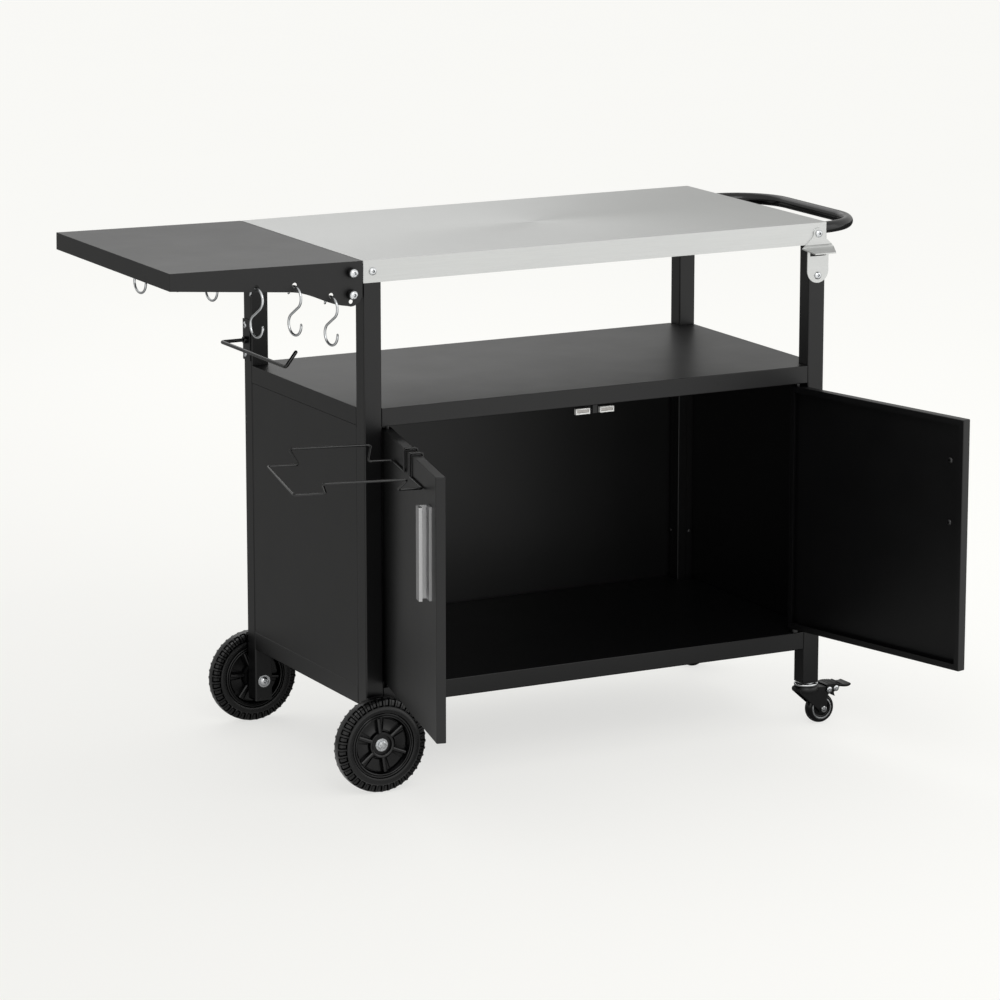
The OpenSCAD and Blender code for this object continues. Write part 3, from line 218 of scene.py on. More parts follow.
def blended(tree, factor, first, second):
    """A colour between two others, each a socket or linear RGBA."""
    return add_node(tree, "Mix", {0: factor, 6: first, 7: second}, data_type="RGBA").outputs[2]


def openness(tree, distance, low, high):
    """A value that goes from `high` on open faces to `low` in gaps and hollows, by ambient
    occlusion: what it drives gets painted shade there.
    """
    hollow = add_node(tree, "AmbientOcclusion", {"Distance": distance}, samples=8)
    return add_node(tree, "MapRange", [hollow.outputs["AO"], *PATTERN, low, high])


def mottled(tree, code, pattern, dark, light):
    """A colour that a pattern moves between two shades of it."""
    share = add_node(tree, "MapRange", [pattern, *PATTERN, 0.0, 1.0])
    return blended(tree, share, shade(code, dark), shade(code, light))


def surface(tree, code, tone, gloss, relief, values, cover=None):
    """Ends a material in one shader. `tone` is a pattern with its two shades, `gloss` one with its
    two roughnesses, `relief` one with strength and depth, and `cover` a layer with its shade."""
    colour = mottled(tree, code, *tone)
    if cover:
        colour = blended(tree, cover[0], colour, shade(code, cover[1]))
    shader = add_node(tree, "BsdfPrincipled", {
        "Base Color": colour,
        "Roughness": add_node(tree, "MapRange", [gloss[0], *PATTERN, *gloss[1:]]),
        "Normal": add_node(tree, "Bump", dict(zip(("Height", "Strength", "Distance"), relief))),
        **values})
    add_node(tree, "OutputMaterial", [shader])


def brushed_stainless():
    """Stainless sheet, belt-brushed along its length: fine lines and a soft streak of light."""
    made, tree, where = blank("Brushed stainless steel")
    part = add_node(tree, "SeparateXYZ", [where]).outputs
    normal = add_node(tree, "NewGeometry").outputs["Normal"]
    facing = add_node(tree, "SeparateXYZ", [normal]).outputs
    # On the end aprons the lines run down the fold, so height stops counting there
    end = add_node(tree, "Math", [facing["X"]], operation="ABSOLUTE")
    side = add_node(tree, "Math", [1.0, end], operation="SUBTRACT")
    height = add_node(tree, "Math", [part["Z"], side], operation="MULTIPLY")
    lengthwise = add_node(tree, "Math", [part["X"], 0.012], operation="MULTIPLY")
    lines = add_node(tree, "CombineXYZ", [lengthwise, part["Y"], height])
    # Real brush lines are 0.1 mm apart, drawn 0.9 mm apart so that they show
    fine = add_node(tree, "TexNoise", lumps(lines, 0.9 * MM, 4.0, 0.7))
    broad = add_node(tree, "TexNoise", lumps(where, 160 * MM))
    streak = add_node(tree, "MapRange", [broad, *PATTERN, 0.0, 0.25])
    surface(tree, colours().stainless, (fine, 0.93, 1.04), (fine, 0.33, 0.43),
            (fine, 0.12, 0.03 * MM), {"Metallic": 1.0, "Anisotropic": 0.35}, (streak, 0.9))
    return made


def powder_coat():
    """Polyester powder baked on steel: satin black with a fine orange peel."""
    made, tree, where = blank("Black powder coat")
    # Orange peel is about 1 mm across on the real sheet, drawn at 1.6 mm
    peel = add_node(tree, "TexNoise", lumps(where, 1.6 * MM))
    cloud = add_node(tree, "TexNoise", lumps(where, 90 * MM, 3.0))
    speck = add_node(tree, "TexVoronoi", {"Vector": where, "Scale": 1 / (3.2 * MM)}, feature="F1")
    specks = add_node(tree, "MapRange", [speck, *PATTERN, 0.12, 0.0])
    # The reflection is turned down in corners, seams and hollows by ambient occlusion: painted
    # shade
    surface(tree, colours().coat, (cloud, 0.95, 1.06), (cloud, 0.36, 0.39), (peel, 0.1, 0.05 * MM),
            {"IOR": 1.44, "Specular IOR Level": openness(tree, 14 * MM, 0.1, 0.5)}, (specks, 1.8))
    return made


def plated(name, code, low, high, size, depth=0.02):
    """Plated or polished metal: bright, with the faint unevenness of its bath or drawing."""
    made, tree, where = blank(name)
    cloud = add_node(tree, "TexNoise", lumps(where, size * 6, 3.0))
    fine = add_node(tree, "TexNoise", lumps(where, size))
    # Sockets and the foot of each head are painted near black by ambient occlusion: painted shade
    # in the hollows
    surface(tree, code, (cloud, 0.88, 1.05), (fine, low, high), (fine, 0.2, depth * MM),
            {"Metallic": 1.0}, (openness(tree, 3.5 * MM, 1.0, 0.0), 0.08))
    return made


def dark_coat(name, code, low, high, size, ior):
    """A thin dark coat on steel, dipped or sprayed: smoother than powder, and faintly uneven."""
    made, tree, where = blank(name)
    cloud = add_node(tree, "TexNoise", lumps(where, size * 6, 3.0))
    fine = add_node(tree, "TexNoise", lumps(where, size))
    surface(tree, code, (cloud, 0.88, 1.05), (fine, low, high), (fine, 0.2, 0.02 * MM),
            {"IOR": ior})
    return made


def drawn_aluminium():
    """Extruded aluminium, satin anodised: fine die lines along the bar."""
    made, tree, where = blank("Anodised aluminium")
    # The die lines are 0.1 mm apart on the real bar, drawn 0.7 mm apart
    lines = add_node(tree, "Mapping", {"Vector": where, "Scale": (1.0, 1.0, 0.01)})
    fine = add_node(tree, "TexNoise", lumps(lines, 0.7 * MM, 3.0))
    surface(tree, colours().alloy, (fine, 0.86, 1.08), (fine, 0.34, 0.46), (fine, 0.15, 0.03 * MM),
            {"Metallic": 1.0, "Anisotropic": 0.4})
    return made


def moulded_plastic(name, code, low, high, size=0.9 * MM, ior=1.49):
    """Injection-moulded plastic with the fine texture of its mould."""
    made, tree, where = blank(name)
    texture = add_node(tree, "TexNoise", lumps(where, size))
    cloud = add_node(tree, "TexNoise", lumps(where, 30 * MM))
    # The reflection is turned down in gaps and hollows, such as between the tread's pads, by
    # ambient occlusion: painted shade
    surface(tree, code, (cloud, 0.86, 1.16), (texture, low, high), (texture, 0.18, 0.06 * MM),
            {"IOR": ior, "Specular IOR Level": openness(tree, 5 * MM, 0.08, 0.62)})
    return made


FINISHES = {}       # Material by finish
SLOTS = {}          # Name of the material slot by CAD node


def make_finishes():
    """Every finish of the cart, most by the name of its material slot in the frame's record."""
    paint = colours()
    FINISHES.update({
        "stainless": brushed_stainless(),
        "black_coat": powder_coat(),
        "hook_wire": plated("Polished steel wire", paint.wire, 0.14, 0.24, 1.2 * MM),
        "zinc": plated("Bright zinc plate", paint.zinc, 0.2, 0.32, 0.8 * MM),
        "chrome": plated("Chrome plate", paint.chrome, 0.06, 0.13, 2.0 * MM, 0.01),
        "alloy": drawn_aluminium(),
        "plastic": moulded_plastic("Moulded polypropylene", paint.moulded, 0.2, 0.28, ior=1.44),
        "tyre": moulded_plastic("Tread rubber", paint.rubber, 0.2, 0.32, 1.4 * MM, 1.4),
        "magnet_frame": moulded_plastic("White moulded nylon", paint.frame_white, 0.4, 0.5),
        "blackened": dark_coat("Black oxide steel", paint.coat, 0.3, 0.4, 0.8 * MM, 1.6),
        "enamel": dark_coat("Gloss black enamel", paint.coat, 0.14, 0.24, 1.5 * MM, 1.48),
        "magnet": plated("Nickel-plated magnet", paint.magnet, 0.3, 0.42, 0.8 * MM),
    })


# ---------------------------------------------------------------- modelling by hand

def deselect():
    for chosen in list(bpy.context.selected_objects):
        chosen.select_set(False)


def only(*chosen):
    """Selects these objects and nothing else."""
    deselect()
    for one in chosen:
        one.select_set(True)
    bpy.context.view_layer.objects.active = chosen[-1]


def edit(piece, mode="FACE"):
    """Opens a piece in edit mode with all of it selected."""
    only(piece)
    bpy.ops.object.mode_set(mode="EDIT")
    bpy.ops.mesh.select_mode(type=mode)
    bpy.ops.mesh.select_all(action="SELECT")


def done():
    bpy.ops.object.mode_set(mode="OBJECT")


def pick(piece, kind, test):
    """In edit mode, selects the faces, edges or points that pass a test, and tells how many."""
    bpy.ops.mesh.select_mode(type=kind)
    bpy.ops.mesh.select_all(action="DESELECT")
    mesh = bmesh.from_edit_mesh(piece.data)
    found = 0
    for part in {"FACE": mesh.faces, "EDGE": mesh.edges, "VERT": mesh.verts}[kind]:
        if test(part):
            part.select_set(True)
            found += 1
    mesh.select_flush_mode()
    bmesh.update_edit_mesh(piece.data)
    return found


def add(kind, name, **settings):
    """Adds one of Blender's primitives, alone selected."""
    deselect()
    getattr(bpy.ops.mesh, f"primitive_{kind}_add")(**settings)
    made = bpy.context.object
    made.name = name
    return made


def sealed(piece):
    """Merges a new mesh's doubles and turns its faces outwards."""
    edit(piece)
    bpy.ops.mesh.remove_doubles(threshold=MERGE)
    bpy.ops.mesh.normals_make_consistent(inside=False)
    done()
    return piece


def put(piece, place):
    """Carries a piece's mesh to its place, with its object left at the origin."""
    only(piece)
    piece.matrix_world = place @ piece.matrix_world
    bpy.ops.object.transform_apply(location=True, rotation=True, scale=True)
    if place.determinant() < 0:
        edit(piece)
        bpy.ops.mesh.normals_make_consistent(inside=False)
        done()
    return piece


def copy_of(piece, place=None):
    """A copy with a mesh of its own, carried to its place."""
    only(piece)
    bpy.ops.object.duplicate()
    made = bpy.context.object
    return put(made, place) if place is not None else made


def join(name, *parts):
    """Joins parts into one piece."""
    only(*parts)
    if len(parts) > 1:
        bpy.ops.object.join()
    made = bpy.context.object
    made.name = name
    made.data.name = name
    return made


def discard(*pieces):
    for piece in pieces:
        bpy.data.objects.remove(piece)


def spread(piece, places, name=None):
    """The piece at each place, joined into one; the first piece goes."""
    parts = [copy_of(piece, place) for place in places]
    discard(piece)
    return join(name or parts[0].name, *parts)


def pointing(direction, point, degrees=0):
    """A place at a point, with local Z along a direction and a turn about it."""
    upright = Z.rotation_difference(Vector(direction)).to_matrix().to_4x4()
    return Matrix.Translation(point) @ upright @ turn(degrees, "Z")


def lathe(name, profile, steps=48, closed=True):
    """Turns a profile of (radius, height) points in millimetres about Z, as on a lathe."""
    profile = [(radius * MM, height * MM) for radius, height in profile]
    last = profile[0]
    made = add("plane", name, size=MM)
    edit(made, "VERT")
    bpy.ops.mesh.merge(type="CENTER")
    bpy.ops.transform.translate(value=(last[0], 0, last[1]))
    for point in profile[1:] + ([last] if closed and last[0] > 0 else []):
        bpy.ops.mesh.extrude_region_move(
            TRANSFORM_OT_translate={"value": (point[0] - last[0], 0, point[1] - last[1])})
        last = point
    bpy.ops.mesh.select_all(action="SELECT")
    bpy.ops.mesh.spin(steps=steps, angle=math.tau, center=(0, 0, 0), axis=(0, 0, 1))
    return sealed(made)


def bevel(piece, radius, segments, test=lambda edge: True):
    """Rounds the edges that pass a test."""
    edit(piece, "EDGE")
    pick(piece, "EDGE", test)
    bpy.ops.mesh.bevel(offset=radius, segments=segments, profile=0.5, affect="EDGES")
    done()
    return piece


def smooth(piece, flat_faces=False):
    """Smooths a piece between its ridges; its large faces can be kept truly flat."""
    only(piece)
    bpy.ops.object.shade_smooth_by_angle(angle=SMOOTH_ANGLE)
    if flat_faces:
        bpy.ops.object.modifier_add(type="WEIGHTED_NORMAL")
        weighted = piece.modifiers[-1]
        weighted.keep_sharp = True
        weighted.weight = 100
        bpy.ops.object.modifier_apply(modifier=weighted.name)
    return piece


def rounded(points, radii, steps=8):
    """A path of points with its corners rounded, each by its own radius."""
    points = [Vector(p) for p in points]
    path = [points[0]]
    last = len(points) - 2
    for i in range(1, last + 1):
        corner = points[i]
        back, ahead = points[i - 1] - corner, points[i + 1] - corner
        u, v = back.normalized(), ahead.normalized()
        half = u.angle(v) / 2
        # A bend may use up an end piece, but shares the others with the next bend
        cut = min(radii[i - 1] / math.tan(half), back.length / (1 if i == 1 else 2),
                  ahead.length / (1 if i == last else 2))
        middle = corner + (u + v).normalized() * (cut / math.cos(half))
        start, end = corner + u * cut - middle, corner + v * cut - middle
        swing = start.angle(end)
        path += [middle + (start * math.sin(swing * (1 - k / steps))
                           + end * math.sin(swing * k / steps)) / math.sin(swing)
                 for k in range(steps + 1)]
    path.append(points[-1])
    return [p for i, p in enumerate(path) if i == 0 or (p - path[i - 1]).length > 0.01 * MM]


def wire(name, path, radius, tips=True, sides=6):
    """A round wire along a path, with rounded tips."""
    path = [Vector(p) for p in path]
    rows = [(p, 1.0) for p in path]
    if tips:
        for end, beside in ((path[0], path[1]), (path[-1], path[-2])):
            away = (end - beside).normalized()
            dome = [(end - away * radius * (1 - math.sin(a)), math.cos(a)) for a in
                    (0.0, math.pi / 8, math.pi / 4, math.pi * 3 / 8, math.pi / 2 * 0.98)]
            rows = rows[:-1] + dome if end is path[-1] else dome[::-1] + rows[1:]
    curve = bpy.data.curves.new(name, "CURVE")
    curve.dimensions = "3D"
    curve.bevel_depth = radius
    curve.bevel_resolution = sides
    curve.use_fill_caps = True
    line = curve.splines.new("POLY")
    line.points.add(len(rows) - 1)
    for point, (place, width) in zip(line.points, rows):
        point.co = (*place, 1.0)
        point.radius = width
    made = bpy.data.objects.new(name, curve)
    bpy.context.collection.objects.link(made)
    only(made)
    bpy.ops.object.convert(target="MESH")
    return smooth(sealed(bpy.context.object))


def dress(piece, node, slot=None, finish=None):
    """Gives a piece the body, the slot and the finish of a CAD node. A piece without a slot of its
    own stands for that node."""
    piece.data.materials.clear()
    piece.data.materials.append(FINISHES[finish or slot or SLOTS[node]])
    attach(piece, frame["nodes"][node]["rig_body"])
    if slot is None:
        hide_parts(node)


def grouped(items, beside):
    """Sorts items into groups that hang together. `beside` gives an item's neighbours in the group
    that another item started."""
    seen, groups = set(), []
    for first in items:
        if first in seen:
            continue
        group, front = [first], [first]
        seen.add(first)
        while front:
            for other in beside(front.pop(), first):
                if other not in seen:
                    seen.add(other)
                    group.append(other)
                    front.append(other)
        groups.append(group)
    return groups


def flat_regions(mesh):
    """The flat regions of a mesh: lists of joined faces that lie in one plane."""
    return grouped(mesh.faces, lambda face, first: [
        other for edge in face.edges for other in edge.link_faces
        if other.normal.dot(first.normal) > SAME_PLANE])


def merged_copy(node):
    """A copy of a CAD node, its loose triangles merged into plain faces except round holes."""
    made = copy_of(frame["nodes"][node])
    made.parent = None
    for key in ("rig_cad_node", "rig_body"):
        if key in made:
            del made[key]
    made.name = node + "_dressed"
    edit(made, "VERT")
    bpy.ops.mesh.remove_doubles(threshold=CAD_MERGE)
    mesh, inner = bmesh.from_edit_mesh(made.data), set()
    for group in flat_regions(mesh):
        faces = set(group)
        edges = {edge for face in group for edge in face.edges}
        corners = {corner for face in group for corner in face.verts}
        rim = [edge for edge in edges if sum(face in faces for face in edge.link_faces) == 1]
        rim_corners = {corner for edge in rim for corner in edge.verts}
        # A plain face has no hole in it and doesn't touch itself at a corner
        if len(corners) - len(edges) + len(group) == 1 and len(rim_corners) == len(rim):
            inner.update(edge.index for edge in edges - set(rim))
    if pick(made, "EDGE", lambda edge: edge.index in inner):
        bpy.ops.mesh.dissolve_edges(use_verts=False)
    done()
    return made


def round_edges(piece, radius, segments=3, narrowest=3.2 * MM):
    """Rounds the outer folds: sharp ridges between two flat regions that are both wide."""
    edit(piece, "EDGE")
    mesh, width = bmesh.from_edit_mesh(piece.data), {}
    mesh.faces.ensure_lookup_table()
    for group in flat_regions(mesh):
        low, high = limits([corner.co for face in group for corner in face.verts])
        wide = sum(face.calc_area() for face in group) / (high - low).length
        width.update({face.index: wide for face in group})

    def is_fold(edge):
        return (len(edge.link_faces) == 2 and edge.calc_face_angle_signed(0) > FOLD
                and edge.calc_length() > 2 * radius
                and all(width[face.index] > narrowest for face in edge.link_faces))

    if pick(piece, "EDGE", is_fold):
        bpy.ops.mesh.bevel(offset=radius, segments=segments, profile=0.5, affect="EDGES",
                           clamp_overlap=True)
    done()
    return piece


def sheet(node, radius, segments=3, narrowest=3.2 * MM):
    """A CAD piece with its folds rounded."""
    made = round_edges(merged_copy(node), radius, segments, narrowest)
    dress(smooth(made, flat_faces=True), node)


def solids(node):
    """The separate solids of a CAD node, each as a list of its points."""
    mesh = bmesh.new()
    mesh.from_mesh(frame["nodes"][node].data)
    bmesh.ops.remove_doubles(mesh, verts=mesh.verts, dist=CAD_MERGE)
    found = [[point.co.copy() for point in group] for group in grouped(
        mesh.verts, lambda point, first: [edge.other_vert(point) for edge in point.link_edges])]
    mesh.free()
    return found


def limits(points):
    """The lowest and highest corner of some points."""
    return (Vector([min(p[i] for p in points) for i in range(3)]),
            Vector([max(p[i] for p in points) for i in range(3)]))


def run(edge):
    """How far an edge goes along X, Y and Z."""
    low, high = limits([point.co for point in edge.verts])
    return high - low


def corner(x, y, z):
    """A point in millimetres from the worktop's front left corner, with height above the floor."""
    return Vector((TOP_LOW.x + x * MM, TOP_LOW.y + y * MM, z * MM))


def at(x, y, z):
    """A shift in millimetres."""
    return Matrix.Translation((x * MM, y * MM, z * MM))


def turn(degrees, axis):
    return Matrix.Rotation(math.radians(degrees), 4, axis)


def door_place(side):
    """A door's own frame: the foot of its hinge axis, with X and Z in the plane of the door."""
    x, y, _ = next(
        joint["pos_m"] for joint in frame["joints"] if joint["name"] == f"{side}_door_hinge")
    return Matrix.Translation((x, y, 0)) @ turn(-DOOR_OPEN if side == "left" else DOOR_OPEN, "Z")


def wheel_place(side):
    """A wheel's own frame: the middle of its outer face, with Z inwards along the axle."""
    if side == "front":
        return Matrix.Translation(corner(LEG_MID, -WHEEL_OUT, WHEEL_RADIUS)) @ turn(-90, "X")
    return (Matrix.Translation(corner(LEG_MID, DEPTH + WHEEL_OUT, WHEEL_RADIUS)) @ turn(90, "X")
            @ turn(-30, "Z"))


def caster_place(side):
    """A caster's own frame: its leg's axis on the floor, with -Y to the cart's outside."""
    if side == "front":
        return Matrix.Translation(corner(RIGHT_MID, LEG_MID, 0))
    mirror = Matrix.Diagonal((1, -1, 1, 1))
    return Matrix.Translation(corner(RIGHT_MID, DEPTH - LEG_MID, 0)) @ mirror


def turned(name, profile, steps=48, closed=True):
    """A smoothed lathe piece."""
    return smooth(lathe(name, profile, steps, closed))


def both_faces(half, width, middle=()):
    """The profile of a wheel: that of its near face, what lies in the middle, and the far face."""
    return half + list(middle) + [(r, width - z) for r, z in reversed(half)]


def ring(bore, radius, low, high, edge):
    """The profile of a ring whose outer edges are turned off."""
    return [(bore, low), (radius - edge, low), (radius, low + edge),
            (radius, high - edge), (radius - edge, high), (bore, high)]


def block(name, low, high, edge=0.0):
    """A block between two corners in millimetres, with its edges rounded."""
    low, high = Vector(low) * MM, Vector(high) * MM
    made = add("cube", name, size=1)
    put(made, Matrix.Translation((low + high) / 2) @ Matrix.Diagonal((*(high - low), 1)))
    return smooth(bevel(made, edge * MM, 2), flat_faces=True) if edge else made


def prism(name, outline, low, high, edge=0.0, segments=2):
    """A flat outline of (x, z) points in millimetres, drawn out from one y to another, with its two
    rims rounded."""
    made = add("circle", name, vertices=len(outline), radius=1, fill_type="NGON")
    edit(made, "VERT")
    mesh = bmesh.from_edit_mesh(made.data)
    in_turn = sorted(mesh.verts, key=lambda vert: math.atan2(vert.co.x, vert.co.y))
    for point, (x, z) in zip(in_turn, outline):
        point.co = (x * MM, low * MM, z * MM)
    bmesh.update_edit_mesh(made.data)
    bpy.ops.mesh.select_all(action="SELECT")
    bpy.ops.mesh.extrude_region_move(TRANSFORM_OT_translate={"value": (0, (high - low) * MM, 0)})
    sealed(made)
    if edge:
        bevel(made, edge * MM, segments, lambda line: run(line).y < 0.1 * MM)
    return made


def carve(piece, tool, operation="DIFFERENCE"):
    """Cuts a piece with a tool, or keeps what they share; the tool goes."""
    only(piece)
    bpy.ops.object.modifier_add(type="BOOLEAN")
    cut = piece.modifiers[-1]
    cut.operation, cut.object, cut.solver = operation, tool, "EXACT"
    bpy.ops.object.modifier_apply(modifier=cut.name)
    discard(tool)
    return piece


def bolt(name, shank, length, head, height, socket):
    """A button-headed bolt with a hex socket: its seat on z = 0 and its head above."""
    top = math.radians(62)
    dome = [(head * math.cos(a), height * (0.1 + 0.9 * math.sin(a) / math.sin(top)))
            for a in (top * k / 6 for k in range(7))]
    foot = [(0, -length), (shank * 0.85, -length), (shank, -length + shank * 0.15), (shank, 0),
            (head * 0.96, 0), (head, height * 0.04)]
    made = lathe(name, foot + dome + [(0, height)], 32, closed=False)
    tool = add("cylinder", "socket", vertices=6, radius=socket * MM, depth=height * MM,
               location=(0, 0, height * 0.7 * MM))
    return smooth(carve(made, tool))


def hex_nut(name, radius, height, bore):
    """A nut whose corners are turned off at both ends, standing on z = 0."""
    made = add("cylinder", name, vertices=6, radius=radius * MM, depth=height * MM,
               location=(0, 0, height / 2 * MM))
    put(made, Matrix())
    flat, tip, rise = radius * 0.88, radius * 1.03, radius * 0.1
    barrel = lathe("barrel", [
        (bore, 0), (flat, 0), (tip, rise), (tip, height - rise), (flat, height), (bore, height)])
    return smooth(carve(made, barrel, "INTERSECT"))


def bolt_places(node, place=Matrix()):
    """The seats of a CAD node's bolts, Z out of their heads, all square to the frame `place`."""
    found = []
    for points in solids(node):
        local = [place.inverted() @ point for point in points]
        low, high = limits(local)
        size, middle = high - low, (low + high) / 2
        axis = min(range(3), key=lambda i: abs(size[i - 1] - size[i - 2]))

        def off(point):
            return math.hypot(*(point[i] - middle[i] for i in range(3) if i != axis))

        widest = max(off(point) for point in local)
        rim = [point[axis] for point in local if off(point) > 0.998 * widest]
        if max(rim) - min(rim) > 0.05 * MM:
            continue        # A nut or a washer is as wide at both ends
        direction = Vector([float(i == axis) for i in range(3)])
        if high[axis] - rim[0] > rim[0] - low[axis]:
            direction = -direction
        middle[axis] = rim[0]
        # Each socket stands at an angle of its own, as on bolts screwed in by hand
        found.append(place @ pointing(direction, middle, 37 * len(found) % 60))
    return found


def step_round(where, steps):
    """Which of the equal steps round the Z axis a point lies in."""
    return int(math.atan2(where.y, where.x) % math.tau / math.tau * steps)


# ---------------------------------------------------------------- the pieces

class CART_OT_finishes(Operator):
    """Makes the finishes and gives each CAD node that still shows its own"""
    bl_idname = "grill_cart.finishes"
    bl_label = "Finishes"

    def execute(self, context):
        make_finishes()
        for name, node in frame["nodes"].items():
            for place in node.material_slots:
                SLOTS[name] = place.material.name.split(".")[0]
                place.material = FINISHES[SLOTS[name]]
        return {"FINISHED"}


class CART_OT_sheets(Operator):
    """Rounds the folds of the worktop, the shelves, the panels, the doors and the legs"""
    bl_idname = "grill_cart.sheets"
    bl_label = "Sheets"

    def execute(self, context):
        sheet("worktop", sizes().worktop_fold, 4, 5 * MM)
        for node in ("side_shelf", "mid_shelf", "lower_shelf", "side_panel_left",
                     "side_panel_right", "back_panel", "door_left", "door_right"):
            sheet(node, sizes().sheet_fold)
        for node in ("leg_front_left", "leg_front_right", "leg_rear_left", "leg_rear_right"):
            sheet(node, sizes().small_edge, 2, 20 * MM)
        for node in ("side_shelf_brackets", "leg_plugs", "towel_plate", "magnet_catch",
                     "bottle_opener"):
            sheet(node, sizes().small_edge, 2, 1.4 * MM)
        return {"FINISHED"}


class CART_OT_fasteners(Operator):
    """Turns one bolt of each kind and screws its copies in"""
    bl_idname = "grill_cart.fasteners"
    bl_label = "Fasteners"

    def execute(self, context):
        for node, kind, side in (
                ("frame_bolts", APRON_BOLT, None), ("side_shelf_bolts", SHELF_BOLT, None),
                ("shelf_screws", SMALL_SCREW, None), ("panel_screws", SMALL_SCREW, None),
                ("towel_screws", PLATE_SCREW, None), ("handle_bolts", HANDLE_BOLT, None),
                ("handle_screws_left", GRIP_SCREW, "left"),
                ("handle_screws_right", GRIP_SCREW, "right")):
            places = bolt_places(node, door_place(side) if side else Matrix())
            made = spread(bolt("bolt", *kind), places, node + "_turned")
            if node == "side_shelf_bolts":
                spacer = turned("spacer", ring(4.1, 7.5, -10, 0, 0.6))
                dress(spread(spacer, places, "side_shelf_spacers_turned"), "side_shelf_spacers")
                inner = [place @ at(0, 0, -19.5) for place in places]
                made = join(made.name, spread(hex_nut("nut", *M8_NUT), inner), made)
            dark = side or kind is SMALL_SCREW
            dress(made, node, finish="blackened" if dark else None)
        plug = turned("plug", [(4.1, 0), (7.3, 0), (7.9, 0.6), (7.9, 12), (4.1, 12)])
        end, height, arm = 830, 820.5, 50       # Where the handle's arms meet the apron
        places = [Matrix.Translation(corner(end, y, height)) @ turn(90, "Y")
                  for y in (arm, DEPTH - arm)]
        dress(spread(plug, places, "handle_plugs_turned"), "handle_plugs")
        return {"FINISHED"}


class CART_OT_wheels(Operator):
    """Moulds one tyre and one hub, turns the axle's parts, and sets both wheels"""
    bl_idname = "grill_cart.wheels"
    bl_label = "Wheels"

    def execute(self, context):
        tyre, hub = self.tyre(), self.hub()
        nuts, bolts = [], []
        washer = turned("washer", ring(4.1, 10.5, 0, 1.6, 0.3))
        spacer = turned("spacer", [
            (4.1, 28), (7.6, 28), (8, 28.3), (8, 30.3), (7.6, 30.5), (4.1, 30.5)])
        nut = hex_nut("nut", *M8_NUT)
        axle = bolt("axle", *AXLE_BOLT)
        for side in ("front", "rear"):
            place = wheel_place(side)
            for piece in (tyre, hub):
                node = f"wheel_{piece.name}_{side}"
                made = copy_of(piece, place)
                made.name = node + "_moulded"
                dress(made, node)
            # From outside in: nut, washer, hub, spacer, leg, washer and the head of the bolt
            nuts += [copy_of(washer, place @ at(0, 0, z)) for z in (6.9, 60.5)]
            nuts.append(copy_of(spacer, place))
            nuts.append(copy_of(nut, place @ at(0, 0, 1.4) @ turn(18, "Z")))
            bolts.append(copy_of(axle, place @ at(0, 0, 62.1)))
        dress(join("axle_nuts_turned", *nuts), "axle_nuts")
        dress(join("axle_bolts_turned", *bolts), "axle_bolts")
        discard(tyre, hub, washer, spacer, nut, axle)
        return {"FINISHED"}

    def tyre(self):
        """A plain crown, and round both shoulders a row of windows with a pad in each."""
        steps = sizes().tread_pitches * 4
        half = [(52.3, 2.2), (53, 0.9), (54.2, 0.4), (57.4, 0.25), (60.6, 0.3), (61.6, 0.9),
                (62.6, 0.9), (63.3, 0.5), (66.4, 0.7), (69.4, 1), (72.3, 1.7), (74.5, 3.2),
                (75.5, 5.4), (75.8, 8), (76.1, 11)]
        crown = [(WHEEL_RADIUS, WHEEL_WIDTH / 2)]
        made = lathe("tyre", both_faces(half, WHEEL_WIDTH, crown), steps)
        edit(made)
        # Three of four steps are windows; the far shoulder's are half a pitch further round
        for mirrored in (False, True):
            def is_window(face):
                where = face.calc_center_median()
                z = WHEEL_WIDTH * MM - where.z if mirrored else where.z
                return (math.hypot(where.x, where.y) > 63.4 * MM and z < 7.9 * MM
                        and (step_round(where, steps) + 2 * mirrored) % 4 != 0)

            pick(made, "FACE", is_window)
            for thickness, depth in ((0.3 * MM, -sizes().tread_depth), (1.3 * MM, 0),
                                     (0.35 * MM, sizes().pad_rise)):
                bpy.ops.mesh.inset(thickness=thickness, depth=depth, use_even_offset=False)
        done()
        return smooth(made)

    def hub(self):
        """A grooved rim, a deep web with raised pads, six round-backed spokes and a bored boss."""
        steps, spokes = 96, 6
        half = [(51.9, 2.6), (51.7, 1.4), (51, 0.8), (50, 0.8), (49.3, 1.4), (49, 3), (48, 3),
                (47.7, 1.6), (47, 1), (46.2, 1.4), (45.7, 3), (44.6, 11), (43.6, 12.2),
                (41.5, 12.4), (24, 12.4), (21.8, 12), (21, 10.6), (20.4, 4.8)]
        boss = [(19.6, 4), (17.2, 4), (16.3, 4.6), (15.8, 8.7), (4.1, 8.7), (4.1, 27.8),
                (19.6, 27.8)]
        made = lathe("hub", both_faces(half, WHEEL_WIDTH, boss), steps)
        edit(made)

        def is_pad(face):
            where = face.calc_center_median()
            return (22 * MM < math.hypot(where.x, where.y) < 43 * MM
                    and 11.9 * MM < where.z < (WHEEL_WIDTH - 11.9) * MM
                    and 3 <= (step_round(where, steps) - 6) % (steps // spokes) < 13)

        pick(made, "FACE", is_pad)
        for thickness, depth in ((1.4 * MM, 0), (0.5 * MM, 2.4 * MM)):
            bpy.ops.mesh.inset(thickness=thickness, depth=depth, use_even_offset=False)
        done()
        smooth(made)
        spoke = block("spoke", (19.8, -3.5, 4.4), (43.4, 3.5, WHEEL_WIDTH - 4.4))
        smooth(bevel(spoke, 3.3 * MM, 6, lambda edge: run(edge).x > 20 * MM))
        places = [turn(22.5 + 360 * i / spokes, "Z") for i in range(spokes)]
        return join("hub", spread(spoke, places), made)


